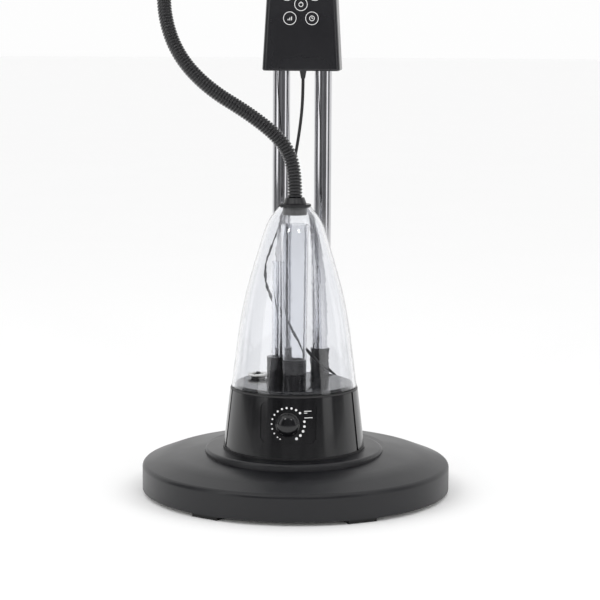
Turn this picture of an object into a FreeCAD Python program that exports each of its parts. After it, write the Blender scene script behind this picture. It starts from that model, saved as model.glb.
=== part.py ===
import FreeCAD, Part

import math
import os
import re

import Sketcher

# Misting pedestal fan, in millimetres. The origin is on the floor under the middle of the round
# base, +Z is up and -Y is the side that the control keys and the mist dial face.

os.makedirs("parts", exist_ok=True)
doc = FreeCAD.newDocument("MistingPedestalFan")
sheet = doc.addObject("Spreadsheet::Sheet", "Sizes")

SIZES = {
    # clearances
    "running_gap": 0.05,
    "loose_gap": 0.3,
    "fit_gap": 0.1,
    # round base
    "base_radius": 193.5,
    "base_wall": 3,
    "foot_height": 5,
    "rim_height": 37,
    "rim_round": 6,
    "dome_mid_inset": 32,
    "dome_mid_height": 49.5,
    "dome_mid_round": 90,
    "dome_top_radius": 112,
    "dome_top_height": 58,
    "plateau_radius": 111,
    "plateau_height": 62,
    "plateau_round": 3.5,
    "key_round": 1.2,
    "plate_thickness": 2,
    "weight_inset": 40,
    "weight_hole": 30,
    "weight_thickness": 17,
    "foot_count": 6,
    "foot_inset": 11,
    "foot_length": 37,
    "foot_width": 14,
    "boss_inset": 28,
    "boss_radius": 5,
    "screw_radius": 1.5,
    "screw_depth": 14,
    "screw_head_radius": 4,
    "screw_head_height": 2,
    # twin poles
    "pole_y": 70,
    "pole_spread": 26.5,
    "pole_radius": 11,
    "pole_wall": 1.2,
    "pole_top": 640,
    "socket_wall": 1.75,
    "socket_top": 172,
    "socket_floor": 8,
    "socket_web": 8,
    "socket_web_height": 48,
    "bolt_radius": 2,
    "bolt_height": 120,
    # mist unit
    "unit_y": -28,
    "unit_bottom_radius": 88,
    "unit_top_radius": 79,
    "unit_top": 140,
    "driver_board_width": 48,
    "driver_board_length": 68,
    "driver_board_x": 18,
    "driver_board_y": -66,
    "coil_width": 16,
    "coil_length": 30,
    "coil_height": 14,
    "coil_x": 30,
    "coil_y": -50,
    "standoff_radius": 3,
    "unit_wall": 2.5,
    "chassis_radius": 88.2,
    "chassis_thickness": 3,
    "standoff_height": 5,
    "panel_angle": 67.5,
    "seam_angle": 3,
    "inset_width": 68,
    "inset_height": 49,
    "inset_depth": 0.8,
    "inset_corner": 7,
    "inset_middle": 107,
    "knob_height": 105.6,
    "knob_radius": 15,
    "knob_depth": 10,
    "knob_round": 4,
    "knob_stem": 3,
    "pot_radius": 6,
    "pot_depth": 9,
    "basin_inset": 5,
    "basin_flange": 3,
    "basin_floor": 112,
    "basin_wall": 2.5,
    "well_radius": 10,
    "disc_radius": 13,
    "disc_thickness": 4,
    "blower_x": -40,
    "blower_motor_radius": 13,
    "blower_motor_height": 16,
    "blower_wheel_radius": 24,
    "blower_wheel_height": 16,
    "float_x": -30,
    "float_y": -62,
    "float_radius": 9,
    "float_height": 8,
    "float_pin": 2.5,
    "float_travel": 10,
    # water tank
    "seal_thickness": 0.8,
    "tank_step": 1,
    "tank_wall": 4,
    "tank_neck_radius": 19,
    "tank_neck_bottom": 356,
    "tank_top": 363,
    "tank_floor": 4,
    "tank_floor_inset": 0.8,
    "tower_radius": 15,
    "tower_wall": 2.5,
    "tower_top": 172,
    "duct_x": -25,
    "duct_y": -6,
    "duct_radius": 11.8,
    "duct_tube_radius": 5.3,
    "duct_tube_top": 292,
    "chimney_wall": 1.5,
    "chimney_top_radius": 17,
    "chimney_top": 340,
    "valve_x": -48,
    "valve_y": -4,
    "valve_stem": 4,
    "valve_head": 9,
    "valve_travel": 3,
    "cap_flange": 3,
    "cap_plug_depth": 11,
    "cap_bore": 8,
    "collar_bottom_radius": 14,
    "collar_top_radius": 11.6,
    "collar_height": 8,
    # hoses and cables
    "hose_radius": 9,
    "cable_radius": 2,
    # control box
    "box_bottom": 527,
    "box_top": 756,
    "box_depth": 52,
    "box_bottom_half": 49.3,
    "box_top_half": 36,
    "box_wall": 2.5,
    "box_round": 7,
    "box_edge_round": 2.5,
    "control_board_width": 64,
    "control_board_length": 86,
    "control_board_bottom": 565,
    "board_pin_x": 27,
    "board_pin_margin": 7,
    "gland_x": 1,
    "gland_y": 68,
    "key_radius": 9,
    "key_stand": 1,
    "key_length": 7.4,
    "key_flange": 1.2,
    "key_travel": 1.2,
    "off_key_height": 610,
    "low_key_height": 592.6,
    "low_key_x": 13.9,
    "high_key_height": 622.6,
    "high_key_x": 17.4,
    "board_thickness": 1.6,
    "switch_height": 3,
    "gland_radius": 4.5,
    "gland_height": 10,
    "head_block_height": 24,
    "head_block_margin": 1.1,
    "head_block_depth": 22,
    # swing drive
    "post_radius": 9,
    "post_top": 800,
    "drive_x": 21.5,
    "drive_y": 60,
    "drive_radius": 11,
    "drive_height": 20,
    "crank_radius": 8,
    "crank_thickness": 3,
    "crank_pin": 2,
    "crank_offset": 5,
    # yoke and tilt hinge
    "hub_radius": 24,
    "hub_height": 46,
    "stalk_radius": 14,
    "tilt_height": 925,
    "ear_radius": 16,
    "ear_inner": 10,
    "ear_thickness": 8,
    "tilt_pin_radius": 4,
    "tilt_knob_radius": 14,
    "tilt_knob_depth": 14,
    # mist nozzle
    "nozzle_x": -80,
    "nozzle_bottom": 884,
    "nozzle_height": 910,
    "nozzle_radius": 12,
    "nozzle_bore": 8,
    "nozzle_flare": 16,
    "nozzle_mouth_y": 38,
    "bracket_thickness": 8,
    "bracket_ring": 4,
    # fan head, with depths counted forwards from its back
    "fan_height": 1012,
    "head_back": 148,
    "motor_radius": 52,
    "motor_wall": 2.5,
    "motor_round": 22,
    "rear_cover_depth": 88,
    "front_cover_end": 114,
    "front_neck_radius": 20,
    "front_neck_end": 126,
    "shaft_radius": 4,
    "shaft_back": 8,
    "shaft_front": 178,
    "bearing_radius": 9,
    "bearing_width": 7,
    "stator_back": 26,
    "stator_length": 44,
    "stator_bore": 22,
    "rotor_gap": 0.4,
    # guards
    "guard_radius": 215,
    "guard_wire": 1.3,
    "guard_rim_wire": 3,
    "guard_wires": 48,
    "rear_rim_depth": 184,
    "rear_belly_radius": 150,
    "rear_belly_depth": 137,
    "rear_hub_radius": 45,
    "front_rim_depth": 191,
    "front_belly_radius": 140,
    "front_belly_depth": 236,
    "front_hub_radius": 38,
    "front_hub_depth": 251,
    "guard_plate": 3,
    "guard_nut_radius": 30,
    "guard_nut_depth": 6,
    "ring_radius": 220,
    "vent_width": 3,
    "vent_length": 22,
    "vent_depth": 30,
    "vent_pitch": 9,
    "vent_place": 68,
    # impeller
    "blade_count": 5,
    "blade_tip_radius": 182,
    "blade_hub_radius": 36,
    "blade_hub_back": 131,
    "blade_hub_length": 34,
    "blade_thickness": 2.4,
    "blade_root_chord": 50,
    "blade_half_way_chord": 92,
    "blade_wide_chord": 118,
    "blade_tip_chord": 68,
    "blade_root_pitch": 38,
    "blade_half_way_pitch": 28,
    "blade_wide_pitch": 22,
    "blade_tip_pitch": 17,
    "blade_root_sweep": 22,
    "blade_half_way_sweep": 12,
    "blade_wide_sweep": 2,
    "blade_middle": 181,
}

for row, (alias, value) in enumerate(SIZES.items(), start=1):
    sheet.set(f"A{row}", alias)
    sheet.set(f"B{row}", str(value))
    sheet.setAlias(f"B{row}", alias)
doc.recompute()

NODES = []
ALIAS = re.compile(r"\b(" + "|".join(SIZES) + r")\b")
UP = FreeCAD.Rotation()
FORWARD = FreeCAD.Rotation(FreeCAD.Vector(1, 0, 0), 90)
SIDEWAYS = FreeCAD.Rotation(FreeCAD.Vector(0, 1, 0), 90)


def size(alias):
    """A size as a number, for the shapes that Part makes directly."""
    return float(sheet.get(alias))


def bind(thing, target, formula):
    thing.setExpression(target, ALIAS.sub(r"Sizes.\1", str(formula)))


def place(thing, x=0, y=0, z=0, turn=UP):
    """Puts a piece where three formulas say, with one of the standing directions."""
    thing.Placement = FreeCAD.Placement(FreeCAD.Vector(), turn)
    for axis, formula in zip("xyz", (x, y, z)):
        bind(thing, f"Placement.Base.{axis}", formula)
    return thing


def primitive(kind, sizes, where):
    thing = doc.addObject(f"Part::{kind}", kind)
    for target, formula in sizes.items():
        bind(thing, target, formula)
    return place(thing, **where)


def cylinder(radius, height, **where):
    return primitive("Cylinder", {"Radius": radius, "Height": height}, where)


def cone(bottom, top, height, **where):
    return primitive("Cone", {"Radius1": bottom, "Radius2": top, "Height": height}, where)


def box(length, width, height, **where):
    return primitive("Box", {"Length": length, "Width": width, "Height": height}, where)


def sphere(radius, **where):
    return primitive("Sphere", {"Radius": radius}, where)


def fuse(*pieces):
    joined = doc.addObject("Part::MultiFuse", "Join")
    joined.Shapes = list(pieces)
    joined.Refine = True
    return joined


def common(*pieces):
    shared = doc.addObject("Part::MultiCommon", "Shared")
    shared.Shapes = list(pieces)
    return shared


def cut(base, *tools):
    remains = doc.addObject("Part::Cut", "Remains")
    remains.Base = base
    remains.Tool = tools[0] if len(tools) == 1 else fuse(*tools)
    remains.Refine = True
    return remains


def group(pieces):
    together = doc.addObject("Part::Compound", "Group")
    together.Links = list(pieces)
    return together


def node(label, thing):
    """Names a finished sub-part; its label is also its file's name."""
    thing.Label = label
    NODES.append(thing)
    return thing


def made(label, shape):
    """A sub-part whose shape comes from Part's own functions."""
    thing = doc.addObject("Part::Feature", label)
    thing.Shape = shape
    return node(label, thing)


def turned(label, outline, rounds=None, **where):
    """A body turned about its own Z from corners (radius, height), with some edges rounded."""
    body = doc.addObject("PartDesign::Body", label)
    sketch = body.newObject("Sketcher::SketchObject", f"{label}_outline")
    plane = next(f for f in body.Origin.OriginFeatures if f.Role == "XZ_Plane")
    sketch.AttachmentSupport = [(plane, "")]
    sketch.MapMode = "FlatFace"
    count = len(outline)
    start = [
        FreeCAD.Vector(
            20 + 10 * math.cos(math.tau * i / count), 20 + 10 * math.sin(math.tau * i / count), 0
        )
        for i in range(count)
    ]
    for i in range(count):
        sketch.addGeometry(Part.LineSegment(start[i], start[(i + 1) % count]), False)
    for i in range(count):
        sketch.addConstraint(Sketcher.Constraint("Coincident", i, 2, (i + 1) % count, 1))
    for i, corner in enumerate(outline):
        ways = (("DistanceX", "radius", -2, start[i].x), ("DistanceY", "height", -1, start[i].y))
        for (kind, word, axis, guess), formula in zip(ways, corner):
            if formula == 0:
                sketch.addConstraint(Sketcher.Constraint("PointOnObject", i, 1, axis))
                continue
            number = sketch.addConstraint(Sketcher.Constraint(kind, -1, 1, i, 1, guess))
            sketch.renameConstraint(number, f"{word}{i}")
            bind(sketch, f"Constraints.{word}{i}", formula)
    solid = body.newObject("PartDesign::Revolution", f"{label}_turn")
    solid.Profile = sketch
    solid.ReferenceAxis = (sketch, ["V_Axis"])
    solid.Angle = 360
    if rounds:
        doc.recompute()
    for corner, radius in (rounds or {}).items():
        spot = sketch.Geometry[corner].StartPoint
        names = [
            f"Edge{n}"
            for n, edge in enumerate(solid.Shape.Edges, start=1)
            if edge.Curve.TypeId == "Part::GeomCircle"
            and abs(edge.Curve.Radius - spot.x) < 0.001
            and abs(edge.Curve.Center.z - spot.y) < 0.001
        ]
        fillet = body.newObject("PartDesign::Fillet", f"{label}_round{corner}")
        fillet.Base = (solid, names)
        bind(fillet, "Radius", radius)
        solid = fillet
        doc.recompute()
    body.Tip = solid
    place(body, **where)
    return body


def ring(label, outer, inner, bottom, top, **where):
    return turned(label, [(inner, bottom), (outer, bottom), (outer, top), (inner, top)], **where)


BOSS_START = 30  # the screw bosses stand between the feet, in degrees


def around(count, radius, start=0):
    """Points evenly spaced on a circle, as (angle in degrees, x formula, y formula)."""
    for i in range(int(count)):
        angle = start + 360 / count * i
        yield angle, f"{radius} * cos({angle} deg)", f"{radius} * sin({angle} deg)"


# ---------------------------------------------------------------- base

DOME_MID_RADIUS = "base_radius - dome_mid_inset"
FOOT_CIRCLE = "(base_radius - foot_inset)"
BOSS_CIRCLE = "(base_radius - boss_inset)"


def base():
    outside = turned(
        "base_outside",
        [
            (0, "foot_height"),
            ("base_radius", "foot_height"),
            ("base_radius", "rim_height"),
            (DOME_MID_RADIUS, "dome_mid_height"),
            ("dome_top_radius", "dome_top_height"),
            (0, "dome_top_height"),
        ],
        rounds={2: "rim_round", 3: "dome_mid_round"},
    )
    inside = turned(
        "base_inside",
        [
            (0, "foot_height"),
            ("base_radius - base_wall", "foot_height"),
            ("base_radius - base_wall", "rim_height - base_wall"),
            (DOME_MID_RADIUS, "dome_mid_height - base_wall"),
            ("dome_top_radius", "dome_top_height - base_wall"),
            (0, "dome_top_height - base_wall"),
        ],
        rounds={2: "rim_round - base_wall"},
    )
    plateau = turned(
        "base_plateau",
        [
            (0, "rim_height"),
            ("plateau_radius", "rim_height"),
            ("plateau_radius", "plateau_height"),
            (0, "plateau_height"),
        ],
        rounds={2: "plateau_round"},
        y="unit_y",
    )
    hollow = cylinder(
        "plateau_radius - base_wall",
        "plateau_height - base_wall - rim_height",
        y="unit_y",
        z="rim_height",
    )
    plate_top = "foot_height + plate_thickness"
    bosses = []
    holes = []
    for _, x, y in around(size("foot_count"), BOSS_CIRCLE, start=BOSS_START):
        bosses.append(
            cylinder("boss_radius", f"rim_height - {plate_top} + 5", x=x, y=y, z=plate_top)
        )
        holes.append(
            cylinder("screw_radius + running_gap", "screw_depth", x=x, y=y, z=plate_top)
        )
    shell = cut(fuse(outside, plateau), inside, hollow)
    node("base_cover", cut(fuse(shell, *bosses), *holes))

    plate = cylinder("base_radius - base_wall - fit_gap", "plate_thickness", z="foot_height")
    plate_holes = [
        cylinder("screw_radius + fit_gap", "plate_thickness", x=x, y=y, z="foot_height")
        for _, x, y in around(size("foot_count"), BOSS_CIRCLE, start=BOSS_START)
    ]
    node("base_plate", cut(plate, *plate_holes))
    node(
        "base_weight",
        ring(
            "base_weight_ring",
            "base_radius - weight_inset",
            "weight_hole",
            plate_top,
            f"{plate_top} + weight_thickness",
        ),
    )

    feet = []
    for angle, _, _ in around(size("foot_count"), FOOT_CIRCLE):
        pad = box(
            "foot_width",
            "foot_length",
            "foot_height",
            x=f"{FOOT_CIRCLE} * cos({angle} deg) - foot_width / 2 * cos({angle} deg)"
            f" + foot_length / 2 * sin({angle} deg)",
            y=f"{FOOT_CIRCLE} * sin({angle} deg) - foot_width / 2 * sin({angle} deg)"
            f" - foot_length / 2 * cos({angle} deg)",
            turn=FreeCAD.Rotation(FreeCAD.Vector(0, 0, 1), angle),
        )
        feet.append(pad)
    node("base_feet", group(feet))

    screws = []
    for _, x, y in around(size("foot_count"), BOSS_CIRCLE, start=BOSS_START):
        head = cylinder(
            "screw_head_radius", "screw_head_height", x=x, y=y, z="foot_height - screw_head_height"
        )
        shank = cylinder(
            "screw_radius", "plate_thickness + screw_depth - 1", x=x, y=y, z="foot_height"
        )
        screws.append(fuse(head, shank))
    node("base_screws", group(screws))


SOCKET_RADIUS = "(pole_radius + running_gap + socket_wall)"


def poles():
    sleeves = []
    bores = []
    bolts = []
    bolt_holes = []
    for side in ("-pole_spread", "pole_spread"):
        sleeves.append(
            cylinder(
                SOCKET_RADIUS,
                "socket_top - plateau_height",
                x=side,
                y="pole_y",
                z="plateau_height",
            )
        )
        bores.append(
            cylinder(
                "pole_radius + running_gap",
                "socket_top - plateau_height",
                x=side,
                y="pole_y",
                z="plateau_height + socket_floor",
            )
        )
        bolt_holes.append(
            cylinder(
                "bolt_radius + running_gap",
                f"{SOCKET_RADIUS} + 2",
                x=side,
                y=f"pole_y + {SOCKET_RADIUS} + 2",
                z="bolt_height",
                turn=FORWARD,
            )
        )
        shank = cylinder(
            "bolt_radius",
            f"{SOCKET_RADIUS} - pole_radius + 3 - fit_gap",
            x=side,
            y=f"pole_y + {SOCKET_RADIUS} + 3",
            z="bolt_height",
            turn=FORWARD,
        )
        head = cylinder(
            "bolt_radius * 2",
            "3",
            x=side,
            y=f"pole_y + {SOCKET_RADIUS} + 5",
            z="bolt_height",
            turn=FORWARD,
        )
        bolts.append(fuse(shank, head))
    web = box(
        "pole_spread * 2",
        "socket_web",
        "socket_web_height",
        x="-pole_spread",
        y="pole_y - socket_web / 2",
        z="plateau_height",
    )
    node("pole_socket", cut(fuse(web, *sleeves), *bores, *bolt_holes))
    node("pole_bolts", group(bolts))
    for label, side in (("left_pole", "-pole_spread"), ("right_pole", "pole_spread")):
        node(
            label,
            ring(
                f"{label}_tube",
                "pole_radius",
                "pole_radius - pole_wall",
                "plateau_height + socket_floor",
                "pole_top",
                x=side,
                y="pole_y",
            ),
        )


# ---------------------------------------------------------------- mist unit

SHELL_BOTTOM = "plateau_height + chassis_thickness"
SHELL_TOP = "unit_top - basin_flange"
UNIT_SLOPE = "(unit_bottom_radius - unit_top_radius) / (unit_top - plateau_height)"


def unit_radius(height):
    """The mist unit's outside radius at a height, as a formula."""
    return f"(unit_bottom_radius - ({height} - plateau_height) * {UNIT_SLOPE})"


def unit_ring(label, outset, inset):
    low, high = unit_radius(SHELL_BOTTOM), unit_radius(SHELL_TOP)
    return turned(
        label,
        [
            (f"{low} - ({inset})", SHELL_BOTTOM),
            (f"{low} - ({outset})", SHELL_BOTTOM),
            (f"{high} - ({outset})", SHELL_TOP),
            (f"{high} - ({inset})", SHELL_TOP),
        ],
        y="unit_y",
    )


def sector(start, sweep, radius="unit_bottom_radius + 10"):
    """A solid slice of the mist unit, its angles counted from straight ahead."""
    slice_ = primitive(
        "Cylinder",
        {"Radius": radius, "Height": "unit_top", "Angle": sweep},
        {"y": "unit_y"},
    )
    slice_.Placement = FreeCAD.Placement(
        FreeCAD.Vector(), FreeCAD.Rotation(FreeCAD.Vector(0, 0, 1), 0)
    )
    bind(slice_, "Placement.Base.y", "unit_y")
    bind(slice_, "Placement.Rotation.Angle", f"{start} - 90")
    return slice_


def tilted_out(thing, height, out):
    """Stands a piece square to the unit's sloping front, out from its surface."""
    slope = f"atan({UNIT_SLOPE})"
    bind(thing, "Placement.Rotation.Angle", f"90 - {slope} / 1 deg")
    bind(thing, "Placement.Base.x", 0)
    bind(thing, "Placement.Base.y", f"unit_y - {unit_radius(height)} - ({out}) * cos({slope})")
    bind(thing, "Placement.Base.z", f"{height} + ({out}) * sin({slope})")
    return thing


def mist_unit():
    chassis = cylinder("chassis_radius", "chassis_thickness", y="unit_y", z="plateau_height")
    pins = [
        cylinder("standoff_radius", "standoff_height", x=x, y=y, z=SHELL_BOTTOM)
        for x in ("driver_board_x + 4", "driver_board_x + driver_board_width - 4")
        for y in ("driver_board_y + 4", "driver_board_y + driver_board_length - 4")
    ]
    node("humidifier_chassis", fuse(chassis, *pins))

    # front panel with a shallow inset round the dial
    panel_ring = unit_ring("panel_ring", "0", "unit_wall")
    panel = common(panel_ring, sector("-panel_angle", "panel_angle * 2"))
    across = box(
        "inset_width",
        "40",
        "inset_height - inset_corner * 2",
        x="-inset_width / 2",
        y="unit_y - unit_bottom_radius - 10",
        z="inset_middle - inset_height / 2 + inset_corner",
    )
    upright = box(
        "inset_width - inset_corner * 2",
        "40",
        "inset_height",
        x="-inset_width / 2 + inset_corner",
        y="unit_y - unit_bottom_radius - 10",
        z="inset_middle - inset_height / 2",
    )
    corners = [
        cylinder(
            "inset_corner",
            "40",
            x=f"{sx} * (inset_width / 2 - inset_corner)",
            y="unit_y - unit_bottom_radius + 30",
            z=f"inset_middle + {sz} * (inset_height / 2 - inset_corner)",
            turn=FORWARD,
        )
        for sx in (-1, 1)
        for sz in (-1, 1)
    ]
    behind_inset = turned(
        "inset_floor",
        [
            (0, "plateau_height"),
            ("unit_bottom_radius - inset_depth", "plateau_height"),
            ("unit_top_radius - inset_depth", "unit_top"),
            (0, "unit_top"),
        ],
        y="unit_y",
    )
    inset = cut(fuse(across, upright, *corners), behind_inset)
    hole = tilted_out(
        cylinder("knob_stem + fit_gap", "unit_wall + 4", turn=FORWARD), "knob_height", "-unit_wall - 2"
    )
    node("humidifier_front_panel", cut(panel, inset, hole))

    # rear shell: the rest of the ring, two rebates behind the seams and the cable boss
    rear = common(
        unit_ring("rear_ring", "0", "unit_wall"),
        sector("panel_angle + seam_angle", "360 - (panel_angle + seam_angle) * 2"),
    )
    lips = [
        common(
            unit_ring(f"lip_ring{number}", "unit_wall + fit_gap", "unit_wall * 2"),
            sector(start, "seam_angle * 3.5"),
        )
        for number, start in enumerate(
            ("panel_angle - seam_angle * 1.5", "-panel_angle - seam_angle * 2")
        )
    ]
    strips = [
        common(
            unit_ring(f"strip_ring{number}", "unit_wall / 2", "unit_wall * 2"),
            sector(start, "seam_angle - 0.2"),
        )
        for number, start in enumerate(("panel_angle + 0.2", "-panel_angle - seam_angle"))
    ]
    boss_x, boss_y = CABLE_POINTS[-1][0], CABLE_POINTS[-1][1]
    boss = cone(
        "gland_radius - 1", "gland_radius", "28", x=boss_x, y=boss_y, z=CABLE_POINTS[-1][2] - 28
    )
    inner_clear = cut(
        cylinder("unit_bottom_radius - unit_wall", "unit_top", y="unit_y"),
        turned(
            "outside_of_core",
            [
                ("unit_bottom_radius + 0", 0),
                ("unit_bottom_radius - unit_wall", "plateau_height"),
                ("unit_top_radius - unit_wall", "unit_top"),
                ("unit_bottom_radius + 0", "unit_top"),
            ],
            y="unit_y",
        ),
    )
    node("humidifier_rear_shell", fuse(rear, *lips, *strips, cut(boss, inner_clear)))

    # water trough on top, with its well, float pin and flange
    outside = "unit_top_radius - basin_inset"
    trough = turned(
        "basin_body",
        [
            ("well_radius", "basin_floor"),
            (outside, "basin_floor"),
            (outside, SHELL_TOP),
            ("unit_top_radius - 0.4", SHELL_TOP),
            ("unit_top_radius - 0.4", "unit_top - seal_thickness"),
            (f"{outside} - basin_wall", "unit_top - seal_thickness"),
            (f"{outside} - basin_wall", "basin_floor + basin_wall"),
            ("well_radius", "basin_floor + basin_wall"),
        ],
        y="unit_y",
    )
    pin = cylinder(
        "float_pin",
        "float_height + float_travel + 2 + basin_wall",
        x="float_x",
        y="float_y",
        z="basin_floor",
    )
    node("basin", fuse(trough, pin))
    node(
        "transducer",
        cylinder("disc_radius", "disc_thickness", y="unit_y", z="basin_floor - disc_thickness"),
    )
    node(
        "water_float",
        ring(
            "water_float_ring",
            "float_radius",
            "float_pin + loose_gap",
            f"basin_floor + basin_wall + loose_gap",
            f"basin_floor + basin_wall + loose_gap + float_height",
            x="float_x",
            y="float_y",
        ),
    )

    # blower, driver board and dial
    node(
        "blower_motor",
        fuse(
            cylinder(
                "blower_motor_radius", "blower_motor_height", x="blower_x", y="unit_y", z=SHELL_BOTTOM
            ),
            cylinder(
                "1.5", "blower_motor_height + 12", x="blower_x", y="unit_y", z=SHELL_BOTTOM
            ),
        ),
    )
    wheel_floor = f"{SHELL_BOTTOM} + blower_motor_height + loose_gap"
    node(
        "blower_wheel",
        turned(
            "blower_wheel_cup",
            [
                ("1.5 + running_gap", wheel_floor),
                ("blower_wheel_radius", wheel_floor),
                ("blower_wheel_radius", f"{wheel_floor} + blower_wheel_height"),
                ("blower_wheel_radius - 3", f"{wheel_floor} + blower_wheel_height"),
                ("blower_wheel_radius - 3", f"{wheel_floor} + 2"),
                ("6", f"{wheel_floor} + 2"),
                ("6", f"{wheel_floor} + 10"),
                ("1.5 + running_gap", f"{wheel_floor} + 10"),
            ],
            x="blower_x",
            y="unit_y",
        ),
    )
    node(
        "driver_board",
        fuse(
            box(
                "driver_board_width",
                "driver_board_length",
                "board_thickness",
                x="driver_board_x",
                y="driver_board_y",
                z=f"{SHELL_BOTTOM} + standoff_height",
            ),
            box(
                "coil_width",
                "coil_length",
                "coil_height",
                x="coil_x",
                y="coil_y",
                z=f"{SHELL_BOTTOM} + standoff_height + board_thickness",
            ),
        ),
    )
    pot = cylinder("pot_radius", "pot_depth", turn=FORWARD)
    pot_hole = cylinder("knob_stem + running_gap", "pot_depth", turn=FORWARD)
    stand_back = "-unit_wall - pot_depth - 0.5"
    node(
        "potentiometer",
        cut(
            tilted_out(pot, "knob_height", stand_back),
            tilted_out(pot_hole, "knob_height", f"{stand_back} + 2"),
        ),
    )
    knob = turned(
        "mist_knob_body",
        [
            (0, 0.001),
            ("knob_stem", 0.001),
            ("knob_stem", "unit_wall + pot_depth - 2"),
            ("knob_radius", "unit_wall + pot_depth - 2"),
            ("knob_radius", "unit_wall + pot_depth - 2 + knob_depth"),
            (0, "unit_wall + pot_depth - 2 + knob_depth"),
        ],
        rounds={4: "knob_round"},
        turn=FORWARD,
    )
    node("mist_knob", tilted_out(knob, "knob_height", "0.6 - (unit_wall + pot_depth - 2)"))


# ---------------------------------------------------------------- water tank

TANK_RADIUS = "(unit_top_radius - tank_step)"


def tank_outline(inset):
    """The bell's curve from its foot to its neck, moved inwards by a wall."""
    foot = size("unit_top_radius") - size("tank_step")
    top, neck = size("tank_neck_bottom"), size("tank_neck_radius")
    low = size("unit_top")
    rise = top - low
    shares = ((0.0, 1.0), (0.24, 0.914), (0.47, 0.812), (0.68, 0.664), (0.85, 0.522), (0.965, 0.395))
    points = [FreeCAD.Vector(foot * share - inset, 0, low + rise * up) for up, share in shares]
    points.append(FreeCAD.Vector(neck - inset + 6, 0, top))
    curve = Part.BSplineCurve()
    curve.interpolate(points)
    return curve.toShape(), points


def water_tank():
    low, top = size("unit_top"), size("tank_top")
    neck, wall = size("tank_neck_radius"), size("tank_wall")
    outer, outer_points = tank_outline(0)
    inner, inner_points = tank_outline(wall)
    neck_outer = FreeCAD.Vector(neck, 0, top)
    neck_inner = FreeCAD.Vector(neck - wall, 0, top)
    outline = Part.Wire(
        [
            outer,
            Part.LineSegment(outer_points[-1], neck_outer).toShape(),
            Part.LineSegment(neck_outer, neck_inner).toShape(),
            Part.LineSegment(neck_inner, inner_points[-1]).toShape(),
            inner,
            Part.LineSegment(inner_points[0], outer_points[0]).toShape(),
        ]
    )
    bell = Part.Face(outline).revolve(FreeCAD.Vector(0, 0, low), FreeCAD.Vector(0, 0, 1), 360)
    bell.translate(FreeCAD.Vector(0, size("unit_y"), 0))
    made("water_tank", bell)

    node(
        "tank_seal",
        ring(
            "tank_seal_ring",
            f"{TANK_RADIUS} - 0.2",
            f"{TANK_RADIUS} - tank_wall - 5",
            "unit_top - seal_thickness",
            "unit_top",
            y="unit_y",
        ),
    )
    floor = cylinder(
        f"{TANK_RADIUS} - tank_wall - tank_floor_inset", "tank_floor", y="unit_y", z="unit_top"
    )
    tower = cylinder("tower_radius", "tower_top - unit_top", y="unit_y", z="unit_top")
    duct = cylinder("duct_radius", "tower_top - unit_top", x="duct_x", y="duct_y", z="unit_top")
    tower_bore = cylinder("tower_radius - tower_wall", "tower_top", y="unit_y", z="unit_top")
    duct_bore = cylinder(
        "duct_tube_radius + running_gap", "20", x="duct_x", y="duct_y", z="tower_top - 8"
    )
    valve_hole = cylinder(
        "valve_stem + fit_gap", "tank_floor", x="valve_x", y="valve_y", z="unit_top"
    )
    node("tank_base_plate", cut(fuse(floor, tower, duct), tower_bore, duct_bore, valve_hole))
    node(
        "tank_valve",
        fuse(
            cylinder(
                "valve_head", "3", x="valve_x", y="valve_y", z="unit_top + tank_floor + loose_gap"
            ),
            cylinder(
                "valve_stem", "tank_floor + 10", x="valve_x", y="valve_y", z="unit_top - 10"
            ),
        ),
    )
    node(
        "level_tube",
        ring(
            "level_tube_wall",
            "duct_tube_radius",
            "duct_tube_radius - 1",
            "tower_top - 8",
            "duct_tube_top",
            x="duct_x",
            y="duct_y",
        ),
    )
    node(
        "chimney_tube",
        turned(
            "chimney_tube_wall",
            [
                ("tower_radius - chimney_wall", "tower_top"),
                ("tower_radius", "tower_top"),
                ("chimney_top_radius", "chimney_top"),
                ("chimney_top_radius - chimney_wall", "chimney_top"),
            ],
            y="unit_y",
        ),
    )
    plug = "tank_neck_radius - tank_wall - fit_gap"
    node(
        "top_cap",
        turned(
            "top_cap_body",
            [
                ("cap_bore", "tank_top - cap_plug_depth"),
                (plug, "tank_top - cap_plug_depth"),
                (plug, "tank_top"),
                ("tank_neck_radius + 0.3", "tank_top"),
                ("tank_neck_radius + 0.3", "tank_top + cap_flange"),
                ("cap_bore", "tank_top + cap_flange"),
            ],
            y="unit_y",
        ),
    )
    collar_bottom = "tank_top + cap_flange"
    node(
        "hose_collar",
        turned(
            "hose_collar_body",
            [
                ("cap_bore", collar_bottom),
                ("collar_bottom_radius", collar_bottom),
                ("collar_bottom_radius", f"{collar_bottom} + 1.5"),
                ("collar_top_radius", f"{collar_bottom} + collar_height"),
                ("cap_bore", f"{collar_bottom} + collar_height"),
            ],
            y="unit_y",
        ),
    )


# ---------------------------------------------------------------- hose and cable

HOSE_POINTS = [
    (0, -28, 374),
    (0, -28, 409),
    (-16, -27, 445),
    (-55, -22, 481),
    (-112, -14, 514),
    (-148, -4, 553),
    (-165, 9, 603),
    (-164, 25, 655),
    (-156, 39, 702),
    (-141, 51, 742),
    (-121, 60, 778),
    (-101, 66, 812),
    (-86, 69, 843),
    (-80.5, 70, 866),
    (-80, 70, 883.7),
]

CABLE_POINTS = [
    (1, 68, 517),
    (1, 68, 490),
    (-3, 75, 455),
    (-10, 83, 415),
    (-20, 90, 375),
    (-33, 90, 338),
    (-48, 86, 306),
    (-56, 71, 280),
    (-49, 57, 257),
    (-36, 48, 233),
    (-14, 50, 201),
    (8, 54, 173),
    (26, 51, 155),
    (44, 45, 146),
    (57, 37, 136),
    (57, 37, 117),
]


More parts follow.
